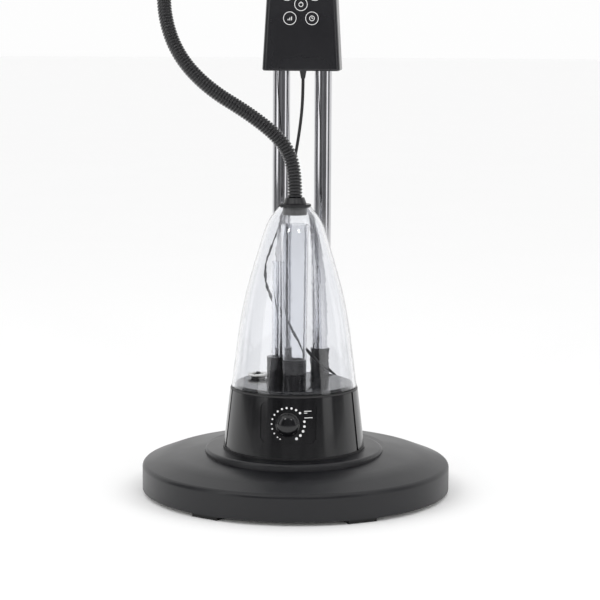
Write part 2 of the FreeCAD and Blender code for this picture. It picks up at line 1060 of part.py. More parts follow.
def cord(label, route, radius):
    """A round cord: straight runs joined by arcs as large as the runs allow."""
    points = [FreeCAD.Vector(*point) for point in route]
    here = points[0]
    edges = []
    radii = []
    length = 0.0
    for before, corner, after in zip(points, points[1:], points[2:]):
        come = (corner - before).normalize()
        leave = (after - corner).normalize()
        half_turn = come.getAngle(leave) / 2
        shorter = min((corner - before).Length, (after - corner).Length)
        reach = 0.45 * shorter
        start = corner - come * reach
        stop = corner + leave * reach
        to_middle = (leave - come).normalize()
        arc_radius = reach / math.tan(half_turn)
        middle = corner + to_middle * (arc_radius / math.cos(half_turn) - arc_radius)
        edges.append(Part.LineSegment(here, start).toShape())
        edges.append(Part.Arc(start, middle, stop).toShape())
        radii.append(round(arc_radius, 1))
        here = stop
    edges.append(Part.LineSegment(here, points[-1]).toShape())
    path = Part.Wire(edges)
    length = path.Length
    section = Part.Wire(Part.makeCircle(radius, points[0], points[1] - points[0]))
    solid = path.makePipeShell([section], True, False)
    expected = math.pi * radius**2 * length
    print(label, "length", round(length, 1), "radii", radii)
    print(label, "volume", round(solid.Volume), "expected", round(expected))
    made(label, solid)


# ---------------------------------------------------------------- control box

BOX_BACK = "pole_y + box_depth / 2"


def box_half(height):
    """The control box's half width at a height, as a formula."""
    return (
        "(box_bottom_half - (box_bottom_half - box_top_half)"
        f" * ({height} - box_bottom) / (box_top - box_bottom))"
    )


def tapered_block(inset, back, depth):
    """A block that narrows upwards, inset from the control box's outside on its sides."""
    low, high = f"box_bottom + {inset}", f"box_top - {inset}"
    half_low, half_high = f"({box_half(low)} - {inset})", f"({box_half(high)} - {inset})"
    block = doc.addObject("Part::Wedge", "Wedge")
    for target, formula in {
        "Xmin": f"-{half_low}",
        "Xmax": half_low,
        "X2min": f"-{half_high}",
        "X2max": half_high,
        "Ymin": 0,
        "Ymax": f"({high}) - ({low})",
        "Zmin": 0,
        "Zmax": depth,
        "Z2min": 0,
        "Z2max": depth,
    }.items():
        bind(block, target, formula)
    return place(block, y=back, z=low, turn=FORWARD)


def rounded(base, pick, alias):
    """Rounds the edges of a piece that a test picks, by a size in the sheet."""
    doc.recompute()
    radius = size(alias)
    fillet = doc.addObject("Part::Fillet", "Rounded")
    fillet.Base = base
    fillet.Edges = [
        (n, radius, radius) for n, edge in enumerate(base.Shape.Edges, start=1) if pick(edge)
    ]
    return fillet


def upright_edge(edge):
    ends = [v.Point for v in edge.Vertexes]
    return len(ends) == 2 and abs(ends[0].z - ends[1].z) > 50


def flat_outer_edge(edge):
    box_middle = size("pole_y")
    return not upright_edge(edge) and abs(edge.CenterOfMass.y - box_middle) < size("box_depth") / 2 + 1


KEYS = {
    "key_off": ("0", "off_key_height"),
    "key_speed": ("-low_key_x", "low_key_height"),
    "key_timer": ("low_key_x", "low_key_height"),
    "key_mist": ("-high_key_x", "high_key_height"),
    "key_swing": ("high_key_x", "high_key_height"),
}


def control_box():
    outside = rounded(tapered_block("0", BOX_BACK, "box_depth"), upright_edge, "box_round")
    outside = rounded(outside, flat_outer_edge, "box_edge_round")
    inside = tapered_block("box_wall", f"{BOX_BACK} - box_wall", "box_depth - box_wall * 2")
    openings = [
        cylinder("pole_radius + loose_gap", "20", x=side, y="pole_y", z="box_bottom - 10")
        for side in ("-pole_spread", "pole_spread")
    ]
    openings.append(cylinder("post_radius + loose_gap", "20", y="pole_y", z="box_top - 10"))
    openings.append(
        cylinder("gland_radius - 1 + fit_gap", "20", x="gland_x", y="gland_y", z="box_bottom - 10")
    )
    shell = cut(outside, inside, *openings)
    front_half = box(
        "200", "box_depth", "400", x=-100, y="pole_y - box_depth", z="box_bottom - 50"
    )
    rear_half = box("200", "box_depth", "400", x=-100, y="pole_y", z="box_bottom - 50")
    key_holes = [
        cylinder("key_radius + fit_gap", "box_wall * 3", x=x, y="pole_y - box_depth / 2 + box_wall * 2",
                 z=z, turn=FORWARD)
        for x, z in KEYS.values()
    ]
    shelf_z = "box_top - box_wall - crank_thickness - drive_height - 9"
    shelf = box(
        "drive_radius * 2",
        "drive_y + 8 - (pole_y - box_depth / 2 + box_wall - 0.5)",
        "2",
        x="drive_x - drive_radius",
        y="pole_y - box_depth / 2 + box_wall - 0.5",
        z=f"{shelf_z} - 2",
    )
    board_pins = [
        cylinder(
            "2.5",
            "box_depth / 2 - box_wall - 15 + 0.5",
            x=x,
            y=f"{BOARD_BACK} - board_thickness",
            z=z,
            turn=FORWARD,
        )
        for x in ("-board_pin_x", "board_pin_x")
        for z in (
            "control_board_bottom + board_pin_margin",
            "control_board_bottom + control_board_length - board_pin_margin",
        )
    ]
    front = common(shell, front_half)
    node("control_front", fuse(cut(front, *key_holes), shelf, *board_pins))
    node("control_rear", common(shell, rear_half))

    board = box(
        "control_board_width",
        "board_thickness",
        "control_board_length",
        x="-control_board_width / 2",
        y=f"{BOARD_BACK} - board_thickness",
        z="control_board_bottom",
    )
    switches = [
        cylinder("3", "switch_height", x=x, y=f"{BOARD_BACK} - board_thickness", z=z, turn=FORWARD)
        for x, z in KEYS.values()
    ]
    node("control_board", fuse(board, *switches))

    face = "pole_y - box_depth / 2"
    for label, (x, z) in KEYS.items():
        cap = cylinder(
            "key_radius", "key_length", x=x, y=f"{face} - key_stand + key_length", z=z, turn=FORWARD
        )
        flange = cylinder(
            "key_radius + 1",
            "key_flange",
            x=x,
            y=f"{face} + box_wall + loose_gap + key_flange",
            z=z,
            turn=FORWARD,
        )
        node(label, fuse(rounded(cap, front_rim, "key_round"), flange))

    gland_bore = cylinder("cable_radius + loose_gap", "40", x="gland_x", y="gland_y", z="box_bottom")
    neck = cylinder("gland_radius - 1", "box_wall + 4", x="gland_x", y="gland_y", z="box_bottom")
    boot = cone("gland_radius - 1.8", "gland_radius", "gland_height", x="gland_x", y="gland_y",
                z="box_bottom - gland_height")
    node("cable_gland", cut(fuse(neck, boot), gland_bore))


BOARD_BACK = "(pole_y - pole_radius - 2)"


def front_rim(edge):
    return edge.Curve.TypeId == "Part::GeomCircle" and edge.Closed and edge.CenterOfMass.y < (
        size("pole_y") - size("box_depth") / 2
    )


def column_head():
    half = "(pole_spread + pole_radius + head_block_margin)"
    block = box(
        f"{half} * 2",
        "head_block_depth",
        "head_block_height",
        x=f"-{half}",
        y="pole_y - head_block_depth / 2",
        z="pole_top - head_block_height / 2",
    )
    bores = [
        cylinder(
            "pole_radius + running_gap",
            "head_block_height / 2",
            x=side,
            y="pole_y",
            z="pole_top - head_block_height / 2",
        )
        for side in ("-pole_spread", "pole_spread")
    ]
    post_hole = cylinder(
        "post_radius + running_gap",
        "head_block_height",
        y="pole_y",
        z="pole_top - head_block_height / 2 + 4",
    )
    node("pole_head", cut(block, *bores, post_hole))
    node(
        "pivot_post",
        cylinder(
            "post_radius",
            "post_top - (pole_top - head_block_height / 2 + 4)",
            y="pole_y",
            z="pole_top - head_block_height / 2 + 4",
        ),
    )
    shelf_z = "box_top - box_wall - crank_thickness - drive_height - 9"
    drive = cylinder("drive_radius", "drive_height", x="drive_x", y="drive_y", z=shelf_z)
    spindle = cylinder("1.5", "drive_height + 5", x="drive_x", y="drive_y", z=shelf_z)
    node("oscillation_motor", fuse(drive, spindle))
    crank_z = f"{shelf_z} + drive_height + loose_gap"
    disc = cylinder("crank_radius", "crank_thickness", x="drive_x", y="drive_y", z=crank_z)
    pin = cylinder(
        "crank_pin", "crank_thickness + 3", x="drive_x + crank_offset", y="drive_y", z=crank_z
    )
    spindle_hole = cylinder("1.5 + running_gap", "10", x="drive_x", y="drive_y", z=crank_z)
    node("oscillation_crank", cut(fuse(disc, pin), spindle_hole))


# ---------------------------------------------------------------- yoke, tilt hinge and nozzle

def yoke():
    hub_bottom = "box_top + loose_gap"
    hub = turned(
        "yoke_hub",
        [
            ("post_radius + running_gap", hub_bottom),
            ("hub_radius", hub_bottom),
            ("hub_radius", f"{hub_bottom} + 12"),
            ("stalk_radius", f"{hub_bottom} + hub_height"),
            ("stalk_radius", "tilt_height - 28"),
            (0, "tilt_height - 28"),
            (0, "post_top + loose_gap"),
            ("post_radius + running_gap", "post_top + loose_gap"),
        ],
        y="pole_y",
    )
    outer = "ear_inner + ear_thickness"
    bridge = box(
        f"({outer}) * 2",
        "ear_radius * 2",
        "10",
        x=f"-({outer})",
        y="pole_y - ear_radius",
        z="tilt_height - 28",
    )
    ears = []
    for start in (f"-({outer})", "ear_inner"):
        ears.append(
            box(
                "ear_thickness",
                "ear_radius * 2",
                "20",
                x=start,
                y="pole_y - ear_radius",
                z="tilt_height - 20",
            )
        )
        ears.append(
            cylinder(
                "ear_radius", "ear_thickness", x=start, y="pole_y", z="tilt_height", turn=SIDEWAYS
            )
        )
    bore = cylinder(
        "tilt_pin_radius + running_gap", "80", x=-40, y="pole_y", z="tilt_height", turn=SIDEWAYS
    )
    node("yoke", cut(fuse(hub, bridge, *ears), bore))
    pin = cylinder(
        "tilt_pin_radius",
        f"({outer}) * 2 + 10",
        x=f"-({outer}) - loose_gap",
        y="pole_y",
        z="tilt_height",
        turn=SIDEWAYS,
    )
    head = cylinder(
        "tilt_pin_radius * 2",
        "4",
        x=f"-({outer}) - loose_gap - 4",
        y="pole_y",
        z="tilt_height",
        turn=SIDEWAYS,
    )
    node("tilt_pin", fuse(pin, head))
    grip = cylinder(
        "tilt_knob_radius",
        "tilt_knob_depth",
        x=f"{outer} + loose_gap",
        y="pole_y",
        z="tilt_height",
        turn=SIDEWAYS,
    )
    scallops = [
        cylinder(
            "3",
            "tilt_knob_depth - 4",
            x=f"{outer} + loose_gap + 4",
            y=f"pole_y + {y}",
            z=f"tilt_height + {z}",
            turn=SIDEWAYS,
        )
        for _, y, z in around(8, "(tilt_knob_radius + 1)")
    ]
    thread = cylinder(
        "tilt_pin_radius + running_gap",
        "11",
        x=f"{outer}",
        y="pole_y",
        z="tilt_height",
        turn=SIDEWAYS,
    )
    node("tilt_knob", cut(grip, thread, *scallops))

    # the mist nozzle is an elbow on an arm from the stalk
    ring_z = "nozzle_bottom + 2"
    hugging = cylinder("stalk_radius + bracket_ring", "bracket_thickness", y="pole_y", z=ring_z)
    holding = cylinder(
        "nozzle_radius + bracket_ring", "bracket_thickness", x="nozzle_x", y="pole_y", z=ring_z
    )
    arm = box(
        "-nozzle_x", "bracket_thickness", "bracket_thickness - 2", x="nozzle_x",
        y="pole_y - bracket_thickness / 2", z=f"{ring_z} + 1",
    )
    stalk_hole = cylinder("stalk_radius + running_gap", "bracket_thickness", y="pole_y", z=ring_z)
    nozzle_hole = cylinder(
        "nozzle_radius + running_gap", "bracket_thickness", x="nozzle_x", y="pole_y", z=ring_z
    )
    node("nozzle_bracket", cut(fuse(hugging, holding, arm), stalk_hole, nozzle_hole))
    rise = "nozzle_height - nozzle_bottom"
    reach = "pole_y - nozzle_mouth_y"
    inlet = cylinder("nozzle_radius", rise, x="nozzle_x", y="pole_y", z="nozzle_bottom")
    bend = sphere("nozzle_radius", x="nozzle_x", y="pole_y", z="nozzle_height")
    outlet = cylinder(
        "nozzle_radius", reach, x="nozzle_x", y="pole_y", z="nozzle_height", turn=FORWARD
    )
    flare = cone(
        "nozzle_radius",
        "nozzle_flare",
        "12",
        x="nozzle_x",
        y="nozzle_mouth_y + 12",
        z="nozzle_height",
        turn=FORWARD,
    )
    inlet_bore = cylinder("nozzle_bore", rise, x="nozzle_x", y="pole_y", z="nozzle_bottom")
    bend_bore = sphere("nozzle_bore", x="nozzle_x", y="pole_y", z="nozzle_height")
    outlet_bore = cylinder(
        "nozzle_bore", reach, x="nozzle_x", y="pole_y", z="nozzle_height", turn=FORWARD
    )
    flare_bore = cone(
        "nozzle_bore",
        "nozzle_flare - 2",
        "12",
        x="nozzle_x",
        y="nozzle_mouth_y + 12",
        z="nozzle_height",
        turn=FORWARD,
    )
    node(
        "mist_nozzle",
        cut(fuse(inlet, bend, outlet, flare), fuse(inlet_bore, bend_bore, outlet_bore, flare_bore)),
    )


# ---------------------------------------------------------------- fan head

HEAD = {"y": "head_back", "z": "fan_height", "turn": FORWARD}


def motor():
    seam = "rear_cover_depth + loose_gap"
    cup = turned(
        "motor_cup",
        [
            (0, 0.001),
            ("motor_radius", 0.001),
            ("motor_radius", "rear_cover_depth"),
            ("motor_radius - motor_wall", "rear_cover_depth"),
            ("motor_radius - motor_wall", "stator_back"),
            ("bearing_radius + 4", "shaft_back + bearing_width + 3"),
            ("bearing_radius + running_gap", "shaft_back + bearing_width + 3"),
            ("bearing_radius + running_gap", "shaft_back + 2"),
            (0, "shaft_back + 2"),
        ],
        rounds={1: "motor_round"},
        **HEAD,
    )
    vents = [
        box(
            "vent_width",
            "vent_length",
            "vent_depth",
            x=f"{step} * vent_pitch - vent_width / 2",
            y="head_back - vent_place",
            z="fan_height + motor_radius - vent_depth + 10",
        )
        for step in (-2, -1, 0, 1, 2)
    ]
    node("motor_rear_cover", cut(cup, *vents))
    node(
        "motor_front_cover",
        turned(
            "motor_front_body",
            [
                ("shaft_radius + loose_gap", "front_neck_end - 6"),
                ("bearing_radius + running_gap", "front_neck_end - 6"),
                ("bearing_radius + running_gap", "front_neck_end - 6 - bearing_width"),
                ("bearing_radius + 4", "front_neck_end - 6 - bearing_width"),
                ("motor_radius - motor_wall", "front_cover_end - 8"),
                ("motor_radius - motor_wall", seam),
                ("motor_radius", seam),
                ("motor_radius", "front_cover_end - 4"),
                ("motor_radius - 4", "front_cover_end"),
                ("front_neck_radius", "front_cover_end"),
                ("front_neck_radius", "front_neck_end"),
                ("shaft_radius + loose_gap", "front_neck_end"),
            ],
            **HEAD,
        ),
    )
    node(
        "motor_stator",
        ring(
            "motor_stator_stack",
            "motor_radius - motor_wall - fit_gap",
            "stator_bore",
            "stator_back + loose_gap",
            "stator_back + stator_length",
            **HEAD,
        ),
    )
    rotor_end = "stator_back + stator_length"
    node(
        "motor_rotor",
        turned(
            "motor_rotor_body",
            [
                (0, "shaft_back + 2 + loose_gap"),
                ("shaft_radius", "shaft_back + 2 + loose_gap"),
                ("shaft_radius", "stator_back"),
                ("stator_bore - rotor_gap", "stator_back"),
                ("stator_bore - rotor_gap", rotor_end),
                ("shaft_radius", rotor_end),
                ("shaft_radius", "shaft_front"),
                (0, "shaft_front"),
            ],
            **HEAD,
        ),
    )
    bearings = [
        ring(
            f"bearing_ring{number}",
            "bearing_radius",
            "shaft_radius + running_gap",
            start,
            f"{start} + bearing_width",
            **HEAD,
        )
        for number, start in enumerate(
            ("shaft_back + 2 + loose_gap", "front_neck_end - 6 - bearing_width - loose_gap")
        )
    ]
    node("motor_bearings", group(bearings))

    tongue_y = "pole_y - ear_radius + loose_gap"
    tongue = fuse(
        box(
            "(ear_inner - loose_gap) * 2",
            "ear_radius * 2",
            "fan_height - tilt_height",
            x="-ear_inner + loose_gap",
            y=tongue_y,
            z="tilt_height",
        ),
        cylinder(
            "ear_radius - loose_gap",
            "(ear_inner - loose_gap) * 2",
            x="-ear_inner + loose_gap",
            y="pole_y",
            z="tilt_height",
            turn=SIDEWAYS,
        ),
    )
    housing = cylinder(
        "motor_radius + running_gap", "400", y="head_back + 100", z="fan_height", turn=FORWARD
    )
    bore = cylinder(
        "tilt_pin_radius + running_gap", "80", x=-40, y="pole_y", z="tilt_height", turn=SIDEWAYS
    )
    node("tilt_tongue", cut(tongue, housing, bore))


def forwards(radius, depth):
    """A point of the head's upper half plane, from its radius and its depth."""
    return FreeCAD.Vector(0, size("head_back") - depth, size("fan_height") + radius)


def wire_guard(label, hub_radius, hub_depth, belly, rim_depth, plate_hole):
    """A dished guard of bent wires between a hub plate and a rim ring."""
    wire, rim = size("guard_wire"), size("guard_radius")
    start = forwards(hub_radius - 2, hub_depth)
    middle = forwards(*belly)
    stop = forwards(rim, rim_depth)
    curve = Part.Arc(start, middle, stop)
    spine = Part.Wire(curve.toShape())
    section = Part.Wire(Part.makeCircle(wire, start, curve.tangent(curve.FirstParameter)[0]))
    strand = spine.makePipeShell([section], True, False)
    axis_point = forwards(0, hub_depth)
    front = FreeCAD.Vector(0, -1, 0)
    strands = []
    for number in range(int(size("guard_wires"))):
        copy = strand.copy()
        copy.rotate(axis_point, front, 360 / size("guard_wires") * number)
        strands.append(copy)
    rim_ring = Part.makeTorus(rim, size("guard_rim_wire"), forwards(0, rim_depth), front)
    belly_ring = Part.makeTorus(belly[0], wire * 1.3, forwards(0, belly[1]), front)
    plate = Part.makeCylinder(
        hub_radius,
        size("guard_plate"),
        forwards(0, hub_depth - size("guard_plate") / 2),
        front,
    )
    if plate_hole:
        hole = Part.makeCylinder(plate_hole, 20, forwards(0, hub_depth - 10), front)
        plate = plate.cut(hole)
    made(label, rim_ring.multiFuse([belly_ring, plate] + strands))


def guards():
    neck_hole = size("front_neck_radius") + size("fit_gap")
    rear_hub_depth = size("front_cover_end") + size("guard_plate") / 2
    wire_guard(
        "rear_guard",
        size("rear_hub_radius"),
        rear_hub_depth,
        (size("rear_belly_radius"), size("rear_belly_depth")),
        size("rear_rim_depth"),
        neck_hole,
    )
    wire_guard(
        "front_guard",
        size("front_hub_radius"),
        size("front_hub_depth"),
        (size("front_belly_radius"), size("front_belly_depth")),
        size("front_rim_depth"),
        0,
    )
    nut_start = "front_cover_end + guard_plate"
    node(
        "guard_nut",
        ring(
            "guard_nut_ring",
            "guard_nut_radius",
            "front_neck_radius + fit_gap",
            nut_start,
            f"{nut_start} + guard_nut_depth",
            **HEAD,
        ),
    )
    back = "rear_rim_depth - guard_rim_wire - loose_gap"
    front = "front_rim_depth + guard_rim_wire + loose_gap"
    grip = "guard_radius + guard_rim_wire + fit_gap"
    node(
        "guard_ring",
        turned(
            "guard_ring_channel",
            [
                ("guard_radius + 1.5", f"{back} - 1.5"),
                ("ring_radius", f"{back} - 1.5"),
                ("ring_radius", f"{front} + 1.5"),
                ("guard_radius + 1.5", f"{front} + 1.5"),
                ("guard_radius + 1.5", front),
                (grip, front),
                (grip, back),
                ("guard_radius + 1.5", back),
            ],
            **HEAD,
        ),
    )


def blade_section(radius, chord, pitch, sweep):
    """A thin closed outline across one blade, at a radius from the shaft."""
    half, thick = chord / 2, size("blade_thickness") / 2
    along = FreeCAD.Vector(math.cos(pitch), -math.sin(pitch), 0)
    across = FreeCAD.Vector(math.sin(pitch), math.cos(pitch), 0)
    middle = forwards(radius, size("blade_middle") - sweep)
    corners = [
        middle + along * half,
        middle + across * thick,
        middle - along * half,
        middle - across * thick,
    ]
    return Part.makePolygon(corners + corners[:1])


def blade_sizes(where):
    """The chord and the pitch of a blade at one of its sections."""
    return size(f"blade_{where}_chord"), math.radians(size(f"blade_{where}_pitch"))


def impeller():
    hub_radius, back = size("blade_hub_radius"), size("blade_hub_back")
    length = size("blade_hub_length")
    front = FreeCAD.Vector(0, -1, 0)
    tip = size("blade_tip_radius")
    sections = [
        blade_section(hub_radius - 8, *blade_sizes("root"), size("blade_root_sweep")),
        blade_section(tip * 0.5, *blade_sizes("half_way"), size("blade_half_way_sweep")),
        blade_section(tip * 0.8, *blade_sizes("wide"), size("blade_wide_sweep")),
        blade_section(tip, *blade_sizes("tip"), 0),
    ]
    blade = Part.makeLoft(sections, True)
    hub = Part.makeCylinder(hub_radius, length, forwards(0, back), front)
    hollow = Part.makeCylinder(hub_radius - 3, length - 4, forwards(0, back), front)
    boss = Part.makeCylinder(9, length - 2, forwards(0, back), front)
    hub = hub.cut(hollow).fuse(boss)
    inside = Part.makeCylinder(hub_radius - 3, length * 3, forwards(0, back - length), front)
    blades = []
    for number in range(int(size("blade_count"))):
        copy = blade.cut(inside)
        copy.rotate(forwards(0, back), front, 360 / size("blade_count") * number)
        blades.append(copy)
    bore = Part.makeCylinder(
        size("shaft_radius") + size("running_gap"), length * 3, forwards(0, back - length), front
    )
    made("fan_blade", hub.multiFuse(blades).cut(bore))
    nut_start = "blade_hub_back + blade_hub_length + fit_gap"
    node(
        "spinner_nut",
        turned(
            "spinner_nut_body",
            [
                ("shaft_radius + running_gap", nut_start),
                ("15", nut_start),
                ("13", f"{nut_start} + 14"),
                (0, f"{nut_start} + 18"),
                (0, "shaft_front + fit_gap"),
                ("shaft_radius + running_gap", "shaft_front + fit_gap"),
            ],
            **HEAD,
        ),
    )


base()
poles()
mist_unit()
water_tank()
cord("mist_hose", HOSE_POINTS, size("hose_radius"))
cord("power_cable", CABLE_POINTS, size("cable_radius"))
control_box()
column_head()
yoke()
motor()
guards()
impeller()

doc.recompute()
for thing in doc.Objects:
    if "Invalid" in thing.State or "Error" in thing.State:
        raise SystemExit(f"{thing.Label} failed to compute: {thing.State}")
for thing in NODES:
    if thing.Shape.isNull() or not thing.Shape.isValid() or not thing.Shape.Solids:
        raise SystemExit(f"{thing.Label} has no sound shape")
    thing.Shape.exportStep(f"parts/{thing.Label}.step")
print(len(NODES), "sub-parts written")
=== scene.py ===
"""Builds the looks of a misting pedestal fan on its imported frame: stage, finishes and pieces."""

import math

import bmesh
import bpy
from bpy.props import FloatProperty, FloatVectorProperty, IntProperty, PointerProperty
from mathutils import Matrix, Quaternion, Vector


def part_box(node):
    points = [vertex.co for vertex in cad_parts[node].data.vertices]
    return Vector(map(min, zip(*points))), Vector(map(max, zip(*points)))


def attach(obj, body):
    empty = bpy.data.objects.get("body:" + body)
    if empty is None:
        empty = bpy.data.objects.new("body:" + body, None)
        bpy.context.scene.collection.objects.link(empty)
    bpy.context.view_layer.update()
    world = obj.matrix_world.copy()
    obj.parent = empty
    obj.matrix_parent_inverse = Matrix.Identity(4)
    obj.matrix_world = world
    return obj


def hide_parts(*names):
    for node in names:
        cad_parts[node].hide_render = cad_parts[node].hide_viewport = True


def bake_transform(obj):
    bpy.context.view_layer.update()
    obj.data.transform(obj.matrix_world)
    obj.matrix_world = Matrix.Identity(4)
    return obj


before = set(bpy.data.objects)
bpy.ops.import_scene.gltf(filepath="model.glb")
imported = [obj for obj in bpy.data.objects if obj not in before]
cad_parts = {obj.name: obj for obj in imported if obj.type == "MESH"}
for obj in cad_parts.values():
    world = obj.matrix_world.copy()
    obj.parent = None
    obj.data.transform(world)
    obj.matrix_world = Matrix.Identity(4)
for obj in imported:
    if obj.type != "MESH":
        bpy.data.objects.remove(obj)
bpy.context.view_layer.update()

bl_info = {
    "name": "Misting Pedestal Fan Looks",
    "version": (1, 0, 0),
    "blender": (4, 5, 0),
    "location": "View3D > Sidebar > Mist Fan",
    "description": "Finishes and detailed pieces for a misting pedestal fan",
    "category": "Object",
}

HOSE_ROUTE = (
    (0, -0.028, 0.374),
    (0, -0.028, 0.409),
    (-0.014, -0.027, 0.442),
    (-0.054, -0.022, 0.474),
    (-0.111, -0.014, 0.507),
    (-0.150, -0.004, 0.548),
    (-0.169, 0.009, 0.600),
    (-0.168, 0.025, 0.655),
    (-0.158, 0.039, 0.702),
    (-0.141, 0.051, 0.742),
    (-0.121, 0.060, 0.778),
    (-0.101, 0.066, 0.812),
    (-0.086, 0.069, 0.843),
    (-0.0805, 0.070, 0.866),
    (-0.080, 0.070, 0.8837),
)
CABLE_ROUTE = (
    (0.001, 0.068, 0.517),
    (0.001, 0.068, 0.490),
    (-0.003, 0.075, 0.455),
    (-0.010, 0.083, 0.415),
    (-0.020, 0.090, 0.375),
    (-0.033, 0.090, 0.338),
    (-0.048, 0.086, 0.306),
    (-0.056, 0.071, 0.280),
    (-0.049, 0.057, 0.257),
    (-0.036, 0.048, 0.233),
    (-0.014, 0.050, 0.201),
    (0.008, 0.054, 0.173),
    (0.026, 0.051, 0.155),
    (0.044, 0.045, 0.146),
    (0.057, 0.037, 0.136),
    (0.057, 0.037, 0.117),
)
# How far right of the dial's middle each bar lies, how far above it, and how wide it is.
DIAL_BARS = ((0.0235, 0.0160, 0.009), (0.0210, 0.0138, 0.004), (0.0245, 0.0080, 0.010))


def length(label, default, description):
    return FloatProperty(name=label, description=description, default=default, unit="LENGTH")


def amount(label, default, description):
    return FloatProperty(name=label, description=description, default=default)


def turn(label, degrees, description):
    return FloatProperty(
        name=label, description=description, default=math.radians(degrees), subtype="ANGLE"
    )


def colour(label, default, description):
    return FloatVectorProperty(
        name=label, description=description, default=default, subtype="COLOR", size=3, min=0, max=1
    )


class StageSettings(bpy.types.PropertyGroup):
    camera_distance: length("Camera distance", 2.5334, "From the column out to the camera, level")
    camera_height: length("Camera height", 0.5907, "Height of the camera above the floor")
    camera_side: turn("Camera side", 5.0, "How far round to the right the camera stands")
    camera_aim: turn("Camera aim", -0.10, "Sideways turn of the camera away from the column")
    camera_down: turn("Camera down", 7.82, "How far the camera looks down")
    camera_roll: turn("Camera roll", 0.3, "Roll of the camera about its own line of sight")
    lens: FloatProperty(name="Lens", description="Focal length in millimetres", default=122.4)
    floor_radius: length("Floor radius", 30.0, "Radius of the round floor")
    floor_tone: colour("Floor colour", (0.97, 0.97, 0.97), "Colour of the floor")
    sky_tone: colour("Sky colour", (0.985, 0.985, 0.985), "Colour of the light all round")
    sky_power: amount("Sky strength", 1.0, "Strength of the light all round")
    key_power: amount("Key light", 10.0, "Power of the left softbox in watts")
    fill_power: amount("Fill light", 7.0, "Power of the right softbox in watts")
    spot_power: amount("Spots", 3.5, "Power of each of the two small lamps in watts")
    lamp_aim: length("Lamp aim", 0.45, "Height on the column that every lamp points at")
    wall_radius: length("Dark wall radius", 3.2, "Radius of the dark wall round the camera")
    wall_height: length("Dark wall height", 3.6, "Height of the dark wall")
    wall_turn: turn("Dark wall turn", 205.0, "How far the dark wall reaches round the front")


class FinishSettings(bpy.types.PropertyGroup):
    charcoal: colour("Charcoal", (0.0040, 0.0042, 0.0058), "Moulded cover of the base")
    gloss: colour("Gloss black", (0.0035, 0.0035, 0.0042), "Polished panels of the mist unit")
    satin: colour("Satin black", (0.011, 0.011, 0.012), "Caps, control box and hose")
    coat: colour("Guard black", (0.010, 0.010, 0.011), "Powder coat on the guards")
    blade: colour("Blade", (0.014, 0.016, 0.020), "Moulded blades")
    chrome: colour("Chrome", (0.62, 0.62, 0.64), "Polished poles")
    print_white: colour("Print", (0.86, 0.86, 0.86), "Printed marks")


class HoseSettings(bpy.types.PropertyGroup):
    diameter: length("Diameter", 0.018, "Across the tops of the ribs")
    groove: length("Groove", 0.0025, "Depth of the grooves between ribs")
    shoulder_share: amount("Shoulder", 0.25, "Where a rib's shoulder lies in the groove's depth")
    pitch: length("Rib pitch", 0.0039, "Distance from one rib to the next")
    real_length: length("Length", 0.6058, "Length from the tank's collar to the nozzle")
    sides: IntProperty(name="Sides", description="Corners round the hose", default=24)
    cuff_length: length("Cuff length", 0.0178, "Length of the sleeve at the nozzle")
    cuff_wall: length("Cuff wall", 0.0018, "How far the sleeve's ribs stand out from the hose")
    cuff_grip: length("Cuff grip", 0.0005, "How far the sleeve bites into the hose's ribs")
    cuff_groove: length("Cuff groove", 0.0008, "Depth of the sleeve's grooves")
    cuff_pitch: length("Cuff rib pitch", 0.0036, "Distance between the sleeve's ribs")


class CableSettings(bpy.types.PropertyGroup):
    diameter: length("Diameter", 0.004, "Across the cable")
    real_length: length("Length", 0.4636, "Length between the box and the mist unit")


class DialSettings(bpy.types.PropertyGroup):
    height: length("Height", 0.1056, "Height of the dial's middle above the floor")
    reach: length("Reach", 0.11097, "From the column forward to the dial's middle")
    tilt: turn("Tilt", 6.58, "How far the dial looks up")
    ring: length("Ring of dots", 0.020, "Radius of the ring of dots")
    first_dot: turn("First dot", 27.4, "Angle from straight down to the first dot")
    second_dot: turn("Second dot", 38.7, "Angle from straight down to the second dot")
    dot_step: turn("Dot step", 17.0, "Angle between later dots")
    dot_count: IntProperty(name="Dots", description="Dots after the first", default=18)
    small_dot: length("Smallest dot", 0.0008, "Radius of the first dot")
    large_dot: length("Largest dot", 0.0017, "Radius of the last dot")
    left_out: IntProperty(name="Dot left out", description="Number of the missing dot", default=13)
    dot_ink: length("Dot ink", 0.00025, "Thickness of the dots")
    bar_ink: length("Bar ink", 0.00035, "Thickness of the bars beside the dots")
    bar_width: length("Bar width", 0.0008, "Width of the bars beside the dots")


class KeySettings(bpy.types.PropertyGroup):
    ring: length("Ring", 0.0083, "Outer radius of the printed ring")
    line: length("Line", 0.0007, "Width of a printed line")
    ink: length("Ink", 0.0002, "Thickness of the print")


class CapSettings(bpy.types.PropertyGroup):
    count: IntProperty(name="Grips", description="Number of grips round the cap", default=36)
    deep: length("Depth", 0.0012, "Depth of a grip")
    wide: length("Width", 0.0016, "Width of a grip")
    tall: length("Height", 0.0024, "Height of a grip")
    drop: length("Drop", 0.0015, "From the cap's top down to the middle of a grip")
    rounding: length("Rounding", 0.0003, "Rounding of a grip's edges")


